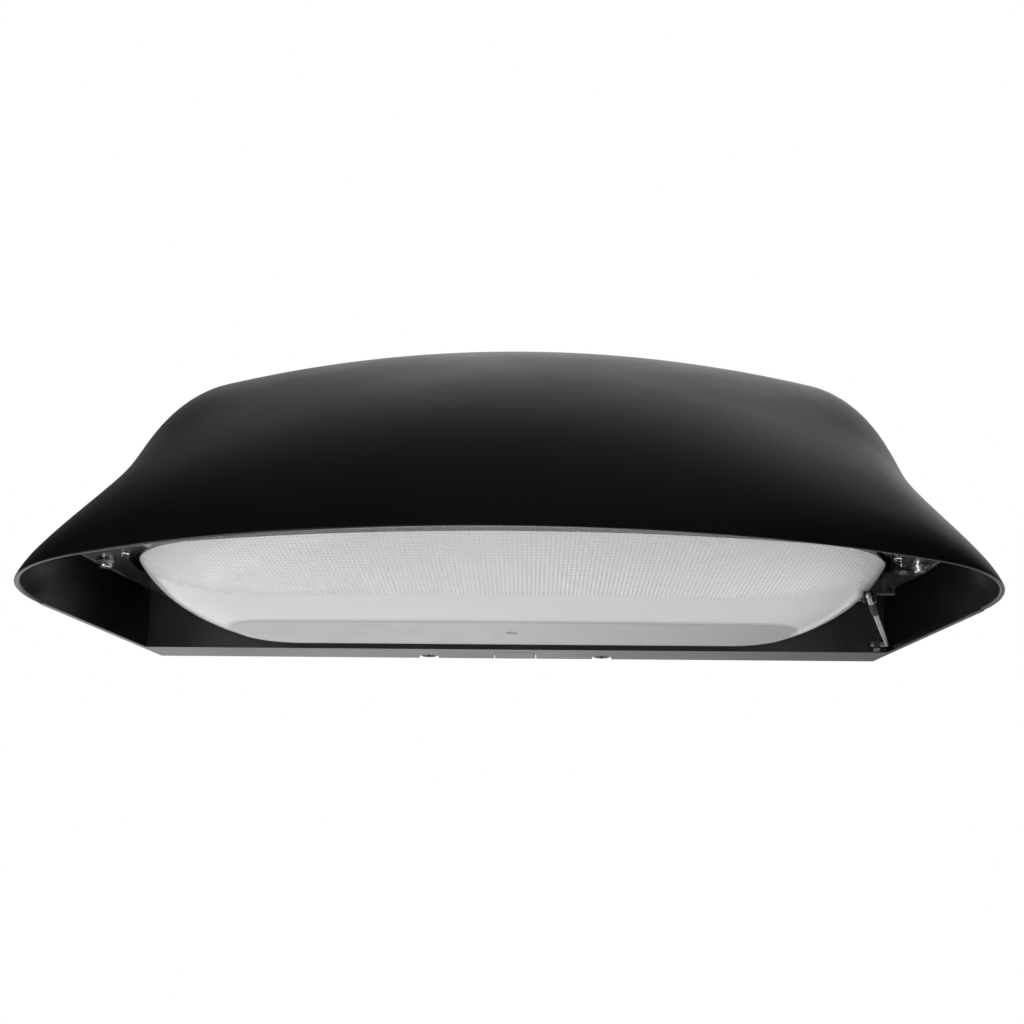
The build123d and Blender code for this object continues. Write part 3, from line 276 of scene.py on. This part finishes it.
# %% Finishes
def grained(name, dark, light, rough, scale=900.0, strength=0.3, depth=0.03, metal=0.0,
            stretch=(1, 1, 1), ior=1.5):
    """A material with the shared grain: two tones, a roughness range and a bump depth in mm."""
    material = bpy.data.materials.new(name)
    material.use_nodes = True
    tree = material.node_tree
    shader = tree.nodes["Principled BSDF"]
    group = add_node(tree, "ShaderNodeGroup", node_tree=grain)
    values = {"Colour A": (*dark, 1), "Colour B": (*light, 1), "Grain Scale": scale,
              "Stretch": stretch, "Rough Low": rough[0], "Rough High": rough[1],
              "Depth": depth * MM, "Strength": strength}
    for title, value in values.items():
        group.inputs[title].default_value = value
    tree.links.new(group.outputs["Color"], shader.inputs["Base Color"])
    tree.links.new(group.outputs["Roughness"], shader.inputs["Roughness"])
    tree.links.new(group.outputs["Normal"], shader.inputs["Normal"])
    shader.inputs["Metallic"].default_value = metal
    shader.inputs["IOR"].default_value = ior
    return material


hood_paint = grained("black_powder_coat", (0.0012, 0.0012, 0.0013), (0.0024, 0.0024, 0.0025),
                     (0.27, 0.33), scale=1100, strength=0.35, depth=0.05)
frame_paint = grained("black_frame_coat", (0.006, 0.006, 0.0062), (0.010, 0.010, 0.0102),
                      (0.26, 0.34), scale=1000, strength=0.25, depth=0.03, ior=1.7)
tray_paint = grained("black_tray_coat", (0.004, 0.004, 0.004), (0.007, 0.007, 0.007), (0.5, 0.6),
                     scale=900, strength=0.2)
zinc = grained("zinc_plate", (0.52, 0.53, 0.55), (0.66, 0.67, 0.68), (0.3, 0.42), scale=160,
               metal=1.0, strength=0.1)
bright_steel = grained("bright_screws", (0.62, 0.62, 0.62), (0.78, 0.78, 0.77), (0.18, 0.28),
                       scale=700, metal=1.0, strength=0.1)
black_oxide = grained("black_screws", (0.02, 0.02, 0.02), (0.04, 0.04, 0.04), (0.35, 0.45),
                      metal=0.6)
drawn_wire = grained("drawn_wire", (0.42, 0.42, 0.43), (0.58, 0.58, 0.59), (0.28, 0.4),
                     scale=500, metal=1.0, stretch=(1, 0.08, 1), strength=0.2)
spring_steel = grained("spring_steel", (0.6, 0.6, 0.6), (0.74, 0.74, 0.73), (0.2, 0.3),
                       scale=400, metal=1.0, stretch=(0.1, 1, 1), strength=0.15)
green_screw = grained("green_bonding_screw", (0.03, 0.22, 0.06), (0.06, 0.34, 0.10),
                      (0.25, 0.35), metal=0.4)
foam = grained("closed_cell_foam", (0.02, 0.02, 0.02), (0.05, 0.05, 0.05), (0.85, 0.95),
               scale=1600, strength=0.9, depth=0.2)
rubber = grained("black_rubber", (0.015, 0.015, 0.015), (0.03, 0.03, 0.03), (0.6, 0.75),
                 scale=700, strength=0.3)
white_gloss = grained("white_reflector", (0.90, 0.90, 0.89), (0.94, 0.94, 0.93), (0.22, 0.3),
                      scale=600, strength=0.15)
board_mask = grained("white_board", (0.74, 0.75, 0.72), (0.82, 0.83, 0.80), (0.3, 0.4),
                     scale=500)
phosphor = grained("phosphor", (0.72, 0.55, 0.10), (0.85, 0.68, 0.18), (0.25, 0.35), scale=1500)
aluminium = grained("mill_aluminium", (0.58, 0.59, 0.60), (0.72, 0.73, 0.74), (0.3, 0.42),
                    scale=300, metal=1.0, stretch=(0.05, 1, 1), strength=0.25)
case_metal = grained("driver_case", (0.62, 0.63, 0.63), (0.74, 0.75, 0.75), (0.4, 0.5),
                     scale=300, metal=0.9)
block_plastic = grained("terminal_plastic", (0.02, 0.02, 0.02), (0.04, 0.04, 0.04),
                        (0.45, 0.55), scale=600)
brass = grained("terminal_brass", (0.62, 0.45, 0.18), (0.78, 0.6, 0.28), (0.25, 0.35),
                scale=400, metal=1.0)
sleeve = grained("lead_sleeve", (0.03, 0.03, 0.03), (0.05, 0.05, 0.05), (0.4, 0.5), scale=800)

FINISHES = {
    "hood": hood_paint, "back_frame": frame_paint, "conduit_knockout": frame_paint,
    "rod_saddle": frame_paint, "optical_tray": tray_paint, "tray_screws": black_oxide,
    "wall_plate": zinc, "sink_brackets": zinc, "driver_bracket": zinc,
    "hanger_pins": bright_steel, "lock_screws": black_oxide, "hood_screws": bright_steel,
    "lens_screws": bright_steel, "lens_washers": bright_steel, "bracket_screws": bright_steel,
    "driver_screws": bright_steel, "ground_screw": green_screw, "box_gasket": foam,
    "lens_gasket": rubber, "lead_grommet": rubber, "reflector": white_gloss,
    "led_boards": board_mask, "led_chips": phosphor, "heat_sink": aluminium,
    "driver": case_metal, "terminal_block": block_plastic, "terminal_screws": brass,
    "supply_leads": sleeve, "board_leads": sleeve, "prop_rod": drawn_wire,
    "rod_clip": black_oxide, "clip_rivet": spring_steel,
}
for name, finish in FINISHES.items():
    node_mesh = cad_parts[name].data
    node_mesh.materials.clear()
    node_mesh.materials.append(finish)
print("finishes set:", len(FINISHES))


# %% [markdown]
# The lens is taken as clear polycarbonate. Its flange is left clear, but the bowl looks milky,
# so its finish is part glass and part pale body. Its flat floor gets a greyer base colour, which
# is painted shade: it is the same plastic as the walls and only catches the light differently.
# Both finishes share one group that clouds their roughness a little, as on moulded plastic.

# %% Lens finishes
haze = bpy.data.node_groups.new("moulding_haze", "ShaderNodeTree")
for title, start in (("Rough Low", 0.02), ("Rough High", 0.06)):
    socket = haze.interface.new_socket(title, in_out="INPUT", socket_type="NodeSocketFloat")
    socket.default_value = start
haze.interface.new_socket("Roughness", in_out="OUTPUT", socket_type="NodeSocketFloat")
given = add_node(haze, "NodeGroupInput").outputs
place = add_node(haze, "ShaderNodeTexCoord").outputs["Object"]
cloud = add_node(haze, "ShaderNodeTexNoise", {"Vector": place, "Scale": 60.0, "Detail": 2.0})
cloud = ramp(haze, cloud.outputs["Fac"], 0.3, 0.7, given["Rough Low"], given["Rough High"])
add_node(haze, "NodeGroupOutput", {"Roughness": cloud})


def moulded(name, transmission, ior, rough):
    """A see-through plastic with the shared haze. Returns it with its tree and shader."""
    material = bpy.data.materials.new(name)
    material.use_nodes = True
    tree = material.node_tree
    shader = tree.nodes["Principled BSDF"]
    shader.inputs["Transmission Weight"].default_value = transmission
    shader.inputs["IOR"].default_value = ior
    group = add_node(tree, "ShaderNodeGroup", node_tree=haze)
    group.inputs["Rough Low"].default_value = rough[0]
    group.inputs["Rough High"].default_value = rough[1]
    tree.links.new(group.outputs["Roughness"], shader.inputs["Roughness"])
    return material, tree, shader


clear, tree, shader = moulded("clear_polycarbonate", 1.0, 1.58, (0.02, 0.06))
shader.inputs["Base Color"].default_value = (0.97, 0.98, 0.985, 1)

# The flat floor's grey is painted shade; these heights say where it fades into the pale walls.
FLOOR_SHADE_UP_TO, SHADE_GONE_FROM = 0.9, 1.6  # heights over the rim where the flat floor's grey ends
milky, tree, shader = moulded("moulded_polycarbonate", 0.58, 1.5, (0.16, 0.24))
place = add_node(tree, "ShaderNodeTexCoord").outputs["Object"]
height = add_node(tree, "ShaderNodeSeparateXYZ", {0: place}).outputs["Z"]
unshaded_share = ramp(tree, height, (RIM + FLOOR_SHADE_UP_TO) * MM, (RIM + SHADE_GONE_FROM) * MM, 0.0, 1.0)
# Painted shade: grey base colour on the flat floor, pale on the walls above it.
floor_shade_tint = add_node(tree, "ShaderNodeMix", {0: unshaded_share}, data_type="RGBA")
floor_shade_tint.inputs[6].default_value = (0.50, 0.51, 0.515, 1)
floor_shade_tint.inputs[7].default_value = (0.985, 0.99, 0.99, 1)
tree.links.new(floor_shade_tint.outputs[2], shader.inputs["Base Color"])

lens_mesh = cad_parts["lens"].data
lens_mesh.materials.clear()
lens_mesh.materials.append(clear)
print("lens finishes:", clear.name, milky.name)


# %% [markdown]
# New pieces are shaped in edit mode, and every operator acts on all that is selected. These
# helpers see to it that only the right object, and at first nothing of it, is selected, and
# they round edges and cut holes the same way each time.

# %% Modelling helpers
def alone(obj):
    """Selects this object and nothing else, and makes it the active one."""
    bpy.ops.object.select_all(action="DESELECT")
    obj.select_set(True)
    bpy.context.view_layer.objects.active = obj


def edit(obj):
    """Enters edit mode on this object with nothing in it selected."""
    alone(obj)
    bpy.ops.object.mode_set(mode="EDIT")
    bpy.ops.mesh.select_all(action="DESELECT")
    return bmesh.from_edit_mesh(obj.data)


def done(obj):
    """Leaves edit mode with the changes kept."""
    bmesh.update_edit_mesh(obj.data)
    bpy.ops.object.mode_set(mode="OBJECT")


def round_edges(obj, width, segments, angle=30):
    """Rounds every edge sharper than this angle, in degrees. The width is in millimetres."""
    alone(obj)
    edge = obj.modifiers.new("edge", "BEVEL")
    edge.width = width * MM
    edge.segments = segments
    edge.limit_method = "ANGLE"
    edge.angle_limit = radians(angle)
    bpy.ops.object.modifier_apply(modifier="edge")


def cut_with(target, cutter):
    """Takes the cutter's form out of the target and removes the cutter."""
    alone(target)
    cut = target.modifiers.new("cut", "BOOLEAN")
    cut.operation = "DIFFERENCE"
    cut.solver = "EXACT"
    cut.object = cutter
    bpy.ops.object.modifier_apply(modifier="cut")
    bpy.data.objects.remove(cutter, do_unlink=True)


def plate(name, points, low, high):
    """An upright plate with this outline, between two heights over the rim."""
    bpy.ops.object.select_all(action="DESELECT")
    bpy.ops.mesh.primitive_circle_add(vertices=len(points), radius=0.1, fill_type="NGON")
    obj = bpy.context.object
    obj.name = name
    for vertex, (x, y) in zip(obj.data.vertices, points):
        vertex.co = (x * MM, -y * MM, (low + RIM) * MM)
    edit(obj)
    bpy.ops.mesh.select_all(action="SELECT")
    rise = (0, 0, (high - low) * MM)
    bpy.ops.mesh.extrude_region_move(TRANSFORM_OT_translate={"value": rise})
    bpy.ops.mesh.select_all(action="SELECT")
    bpy.ops.mesh.normals_make_consistent(inside=False)
    done(obj)
    return obj


# %% [markdown]
# The hood is a deep drawn or die cast shell. Its form is right in the solid, but its rim there
# is cut square, and a square rim mirrors the bright floor as a flat ribbon. The picture shows
# only a hairline of light there, so the lip is taken as rounded. A copy of the solid is merged
# and its rim edges are rolled over with the bevel operator, which makes the ribbon narrower.

# %% Rounded lip of the hood
LIP_ROUND = 1.05
LIP_STEPS = 4
LIP_REAR = -0.0262  # the rim's edges nearer to the wall than this stay square
RIM_LEVEL = RIM * MM


def on_lip(edge):
    """Whether an edge runs along the rim of the hood and is a sharp one."""
    low = all(abs(v.co.z - RIM_LEVEL) < 2e-5 and v.co.y < LIP_REAR for v in edge.verts)
    return low and len(edge.link_faces) == 2 and edge.calc_face_angle() > radians(35)


alone(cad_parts["hood"])
bpy.ops.object.duplicate()
hood = bpy.context.object
hood.name = "hood_shell"
edit(hood)
bpy.ops.mesh.select_all(action="SELECT")
bpy.ops.mesh.remove_doubles(threshold=1e-6)
done(hood)

work = edit(hood)
bpy.ops.mesh.select_mode(type="EDGE")
for edge in work.edges:
    if on_lip(edge):
        edge.select_set(True)
picked = sum(edge.select for edge in work.edges)
bpy.ops.mesh.bevel(offset=LIP_ROUND * MM, segments=LIP_STEPS, affect="EDGES", clamp_overlap=True)
done(hood)
alone(hood)
bpy.ops.object.shade_smooth_by_angle(angle=radians(28))
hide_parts("hood")
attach(hood, "housing")
print("lip edges:", picked, "hood faces:", len(hood.data.polygons))


# %% [markdown]
# The lens's walls carry rows of small pyramids that spread the light. Its lower edge and its
# flat floor are smooth. The pyramids have to be real, because they refract. The bowl starts as
# a grid whose columns run round the bowl and whose rows run down its wall, and the grid is
# wrapped over the bowl's form. Each row is a closed ring: a straight rear side, round corners
# and a bowed front.

# %% Rings of the bowl
# Each level of the bowl: height over the rim, half width, rear and front distance from the
# wall, rear and front corner radius, and the radius of the front arc.
FLOOR_LEVEL = (0.8, 139.0, 34.7, 84.0, 30.0, 15.0, 5000.0)
WAIST_LEVEL = (7.5, 160.0, 34.3, 116.0, 45.0, 30.0, 1600.0)
MOUTH_LEVEL = (26.0, 181.0, 34.0, 165.0, 64.0, 46.0, 520.0)
WAIST_SHARE = 0.62  # where the waist lies on the way from the mouth to the floor's edge
PRISM_PITCH = 2.25
SIDE_LENGTH = 2.2


def arc_points(centre, radius, start, end, count):
    """Points on an arc from start to end, in radians, without the last one."""
    turns = [start + (end - start) * i / count for i in range(count)]
    return [(centre[0] + radius * cos(a), centre[1] + radius * sin(a)) for a in turns]


def line_points(a, b, count):
    """Points on a straight line from a to b, without the last one."""
    return [(a[0] + (b[0] - a[0]) * i / count, a[1] + (b[1] - a[1]) * i / count)
            for i in range(count)]


def ring_counts():
    """How many columns each stretch of the ring gets, from its length at the mouth."""
    _, half, _, _, rear_r, front_r, arc = MOUTH_LEVEL
    reach = asin((half - front_r) / (arc - front_r))
    stretches = (2 * (half - rear_r), rear_r * pi / 2, SIDE_LENGTH,
                 front_r * (pi / 2 - reach), 2 * arc * reach)
    return [max(1, round(s / PRISM_PITCH)) for s in stretches]


COUNTS = ring_counts()


def ring(level):
    """Points round one level, as x and distance from the wall, from the rear left corner."""
    _, half, rear, front, rear_r, front_r, arc = level
    arc_y = front - arc
    reach = asin((half - front_r) / (arc - front_r))
    corner_y = arc_y + (arc - front_r) * cos(reach)
    n_rear, n_bend, n_side, n_corner, n_front = COUNTS
    left, right_x = -half + rear_r, half - rear_r
    corner_x = half - front_r
    points = line_points((left, rear), (right_x, rear), n_rear)
    points += arc_points((right_x, rear + rear_r), rear_r, -pi / 2, 0, n_bend)
    points += line_points((half, rear + rear_r), (half, corner_y), n_side)
    points += arc_points((corner_x, corner_y), front_r, 0, pi / 2 - reach, n_corner)
    points += arc_points((0, arc_y), arc, pi / 2 - reach, pi / 2 + reach, n_front)
    points += arc_points((-corner_x, corner_y), front_r, pi / 2 + reach, pi, n_corner)
    points += line_points((-half, corner_y), (-half, rear + rear_r), n_side)
    points += arc_points((left, rear + rear_r), rear_r, pi, 3 * pi / 2, n_bend)
    return points


LEVELS = (MOUTH_LEVEL, WAIST_LEVEL, FLOOR_LEVEL)


def blend_rings(share):
    """The ring at a share of the way from mouth to floor edge, on a smooth curve."""
    key = WAIST_SHARE
    weights = ((share - key) * (share - 1) / key,
               share * (share - 1) / (key * (key - 1)),
               share * (share - key) / (1 - key))
    rings = [ring(level) for level in LEVELS]
    z = sum(w * level[0] for w, level in zip(weights, LEVELS))
    points = []
    for i in range(len(rings[0])):
        x = sum(w * r[i][0] for w, r in zip(weights, rings))
        y = sum(w * r[i][1] for w, r in zip(weights, rings))
        points.append((x, -y, z))
    return points


COLUMNS = len(ring(MOUTH_LEVEL))
print("columns for each stretch:", COUNTS, "in all:", COLUMNS)


# %% [markdown]
# The grid could be bent over the form with modifiers, but moving its points row by row gives
# exact rows, which the prisms need. Its rows are split at the waist: above it they will carry
# prisms, below it lies the smooth edge.

# %% Wrap a grid over the bowl
PRISM_ROWS = 23
EDGE_ROWS = 8
ROWS = PRISM_ROWS + EDGE_ROWS

bpy.ops.object.select_all(action="DESELECT")
bpy.ops.mesh.primitive_grid_add(x_subdivisions=COLUMNS, y_subdivisions=ROWS, size=1)
bowl = bpy.context.object
bowl.name = "lens_bowl"
for row in range(ROWS + 1):
    if row <= PRISM_ROWS:
        share = WAIST_SHARE * row / PRISM_ROWS
    else:
        share = WAIST_SHARE + (1 - WAIST_SHARE) * (row - PRISM_ROWS) / EDGE_ROWS
    level_points = blend_rings(share)
    for column in range(COLUMNS + 1):
        x, y, z = level_points[column % COLUMNS]
        vertex = bowl.data.vertices[row * (COLUMNS + 1) + column]
        vertex.co = (x * MM, y * MM, (z + RIM) * MM)
print("grid", COLUMNS, "columns,", ROWS, "rows,", len(bowl.data.vertices), "points")


# %% [markdown]
# The bowl is one moulding of even thickness. Its seam is merged and its floor is one flat face.
# Solidify then adds the wall towards the inside, so the outside stays as it was set.

# %% Close the bowl and give it a wall
WALL = 2.5
floor_z = (FLOOR_LEVEL[0] + RIM) * MM

edit(bowl)
bpy.ops.mesh.select_all(action="SELECT")
bpy.ops.mesh.remove_doubles(threshold=1e-6)
bpy.ops.mesh.select_all(action="DESELECT")
work = bmesh.from_edit_mesh(bowl.data)
bpy.ops.mesh.select_mode(type="EDGE")
for edge in work.edges:
    if edge.is_boundary and all(abs(v.co.z - floor_z) < 1e-5 for v in edge.verts):
        edge.select_set(True)
bpy.ops.mesh.edge_face_add()
bpy.ops.mesh.select_mode(type="FACE")
bpy.ops.mesh.select_all(action="SELECT")
bpy.ops.mesh.normals_make_consistent(inside=False)
done(bowl)
floor_face = max(bowl.data.polygons, key=lambda p: len(p.vertices))
if floor_face.normal.z > 0:
    edit(bowl)
    bpy.ops.mesh.select_all(action="SELECT")
    bpy.ops.mesh.flip_normals()
    done(bowl)
wall = bowl.modifiers.new("wall", "SOLIDIFY")
wall.thickness = WALL * MM
wall.offset = -1
wall.use_even_offset = True
bpy.ops.object.modifier_apply(modifier="wall")
print("bowl with its wall:", len(bowl.data.polygons), "faces")


# %% [markdown]
# The flat floor has a small dark oval, taken here as a hole that lets condensed water out. A
# cylinder is taken out of the bowl before the prisms are raised, while the mesh is still small.

# %% Drain hole
DRAIN_OUT = 62.0
DRAIN_R = 2.9

bpy.ops.object.select_all(action="DESELECT")
bpy.ops.mesh.primitive_cylinder_add(vertices=32, radius=DRAIN_R * MM, depth=20 * MM,
                                    location=(0, -DRAIN_OUT * MM, floor_z))
drill = bpy.context.object
bpy.ops.object.transform_apply(location=True)
cut_with(bowl, drill)
print("with its drain:", len(bowl.data.polygons), "faces")


# %% [markdown]
# Each small square of the prism band becomes a pyramid. The poke operator puts a point in the
# middle of every selected face and lifts it, which is quicker and more even than copying
# thousands of pyramids. At the ends of the bowl the band's lower edge rises in an arc.

# %% Prisms
PRISM_HEIGHT = 0.5
BEND_FROM = 118.0
BEND_MARGIN = 3.0
BOWL_MIDDLE = 85.0


def prism_limit(x):
    """Height over the rim above which the wall has prisms: the waist, and higher at the ends."""
    reach = (abs(x) - BEND_FROM) / (MOUTH_LEVEL[1] - BEND_FROM - BEND_MARGIN)
    reach = min(1.0, max(0.0, reach))
    rise = (MOUTH_LEVEL[0] - WAIST_LEVEL[0]) * (1 - sqrt(1 - reach ** 2))
    return WAIST_LEVEL[0] + rise


work = edit(bowl)
bpy.ops.mesh.select_mode(type="FACE")
mouth_z = (MOUTH_LEVEL[0] + RIM) * MM
for face in work.faces:
    if len(face.verts) != 4:
        continue
    middle = face.calc_center_median()
    outward = Vector((middle.x, middle.y + BOWL_MIDDLE * MM, 0))
    outside = face.normal.dot(outward) > 0 and face.normal.z < 0
    low = (prism_limit(middle.x / MM) + RIM) * MM
    if face.normal.y < -0.05 and outside and low < middle.z < mouth_z:
        face.select_set(True)
count = sum(face.select for face in work.faces)
bpy.ops.mesh.poke(offset=PRISM_HEIGHT * MM)
done(bowl)
bowl.data.materials.append(milky)
for polygon in bowl.data.polygons:
    polygon.use_smooth = False
print("prisms:", count, "faces now:", len(bowl.data.polygons))


# %% [markdown]
# The bowl hangs from a flat clear flange with flared sides, round corners and a bowed front. It
# is a plate with the bowl's mouth and the two screw holes cut out, and its sharp edges are
# rounded a little, as on a moulding.

# %% Clear flange
FLANGE_LOW, FLANGE_TOP = 26.0, 28.5
FLANGE = {"half": 181.5, "flare": radians(13.0), "rear": 27.5, "front": 178.0, "arc": 520.0,
          "corner": 26.0, "rear_corner": 12.0}
EAR_X, EAR_Y, EAR_HOLE = 198.05, 102.0, 2.15


def flange_outline():
    """The flange's outline: flared sides, round corners and an arched front, all tangent."""
    half, a, corner, arc = FLANGE["half"], FLANGE["flare"], FLANGE["corner"], FLANGE["arc"]
    along, inward = Vector((sin(a), cos(a))), Vector((-cos(a), sin(a)))
    arc_y = FLANGE["front"] - arc
    base = Vector((half, 0)) + corner * inward - Vector((0, arc_y))
    b = base.dot(along)
    t = -b + sqrt(b * b - base.dot(base) + (arc - corner) ** 2)
    side_end = Vector((half, 0)) + t * along
    centre = side_end + corner * inward
    out_dir = (centre - Vector((0, arc_y))).normalized()
    rear_r = FLANGE["rear_corner"]
    start = Vector((half, 0)) + along * (FLANGE["rear"] / cos(a))
    cut = rear_r * tan((pi / 2 + a) / 2)
    pivot = Vector((start.x - cut, FLANGE["rear"] + rear_r))
    right_side = arc_points(pivot, rear_r, -pi / 2, -a, 8)
    right_side += [tuple(pivot + rear_r * Vector((cos(a), -sin(a))))]
    front_angle = Vector((1, 0)).angle(out_dir)
    right_side += arc_points(centre, corner, -a, front_angle, 16)
    front = arc_points((0, arc_y), arc, front_angle, pi - front_angle, 80)
    left_side = [(-x, y) for x, y in reversed(right_side + [front[0]])]
    return right_side + front + left_side[1:]


flange = plate("lens_flange", flange_outline(), FLANGE_LOW, FLANGE_TOP)
mouth_outline = [(x * 1.0002, y) for x, y in ring(MOUTH_LEVEL)]
cut_with(flange, plate("mouth_cutter", mouth_outline, FLANGE_LOW - 1, FLANGE_TOP + 1))
for sign in (-1, 1):
    hole = arc_points((sign * EAR_X, EAR_Y), EAR_HOLE, 0, 2 * pi, 24)
    cut_with(flange, plate("ear_cutter", hole, FLANGE_LOW - 1, FLANGE_TOP + 1))
round_edges(flange, width=0.35, segments=2, angle=40)
flange.data.materials.append(clear)
print("flange:", len(flange.data.polygons), "faces")


# %% [markdown]
# Between each screw and the bowl the picture shows a small round pip under the flange. What it
# is for is not known. With the pips the lens is complete, and its pieces are joined, as it is
# one moulding.

# %% Pips under the flange
PIP_X, PIP_Y = 185.05, 119.0
PIP_R, PIP_DROP = 2.0, 1.6
pips = []
for sign in (-1, 1):
    place = (sign * PIP_X * MM, -PIP_Y * MM, (FLANGE_LOW - PIP_DROP / 2 + RIM) * MM)
    bpy.ops.object.select_all(action="DESELECT")
    bpy.ops.mesh.primitive_cylinder_add(vertices=32, radius=PIP_R * MM, depth=PIP_DROP * MM,
                                        location=place)
    pip = bpy.context.object
    pip.name = "lens_pip"
    bpy.ops.object.transform_apply(location=True)
    round_edges(pip, width=0.4, segments=3)
    pip.data.materials.append(clear)
    pips.append(pip)

alone(bowl)
for piece in (*pips, flange):
    piece.select_set(True)
bpy.ops.object.join()
bowl.name = "clear_lens"
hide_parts("lens")
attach(bowl, "housing")
print("lens:", len(bowl.data.polygons), "faces")


# %% [markdown]
# The rod is bare wire with a dark stretch a little short of the clip. What that is on the real
# light is a guess: a short rubber sleeve that keeps the wire from rattling. It is one tube set
# along the wire, with its ends rounded off.

# %% Sleeve on the rod
REAR_HALF = 186.0
PIVOT = Vector((REAR_HALF + 22.0 * tan(radians(18)) - 3.0, -30.5, 3.6))
TIP = PIVOT + Vector((-17.2, -69.5, 8.4))
SLEEVE_R, SLEEVE_FROM, SLEEVE_TO = 1.95, 0.66, 0.86

run = TIP - PIVOT
centre = PIVOT + run * (SLEEVE_FROM + SLEEVE_TO) / 2
sleeve_length = run.length * (SLEEVE_TO - SLEEVE_FROM)
bpy.ops.object.select_all(action="DESELECT")
bpy.ops.mesh.primitive_cylinder_add(vertices=40, radius=SLEEVE_R * MM, depth=sleeve_length * MM,
                                    location=(centre + Vector((0, 0, RIM))) * MM,
                                    rotation=run.to_track_quat("Z", "Y").to_euler())
rod_sleeve = bpy.context.object
rod_sleeve.name = "rod_sleeve"
bpy.ops.object.transform_apply(location=True, rotation=True)
round_edges(rod_sleeve, width=0.3, segments=2)
bpy.ops.object.shade_smooth_by_angle(angle=radians(40))
rod_sleeve.data.materials.append(rubber)
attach(rod_sleeve, "prop_rod")
print("sleeve", round(sleeve_length, 1), "mm long")
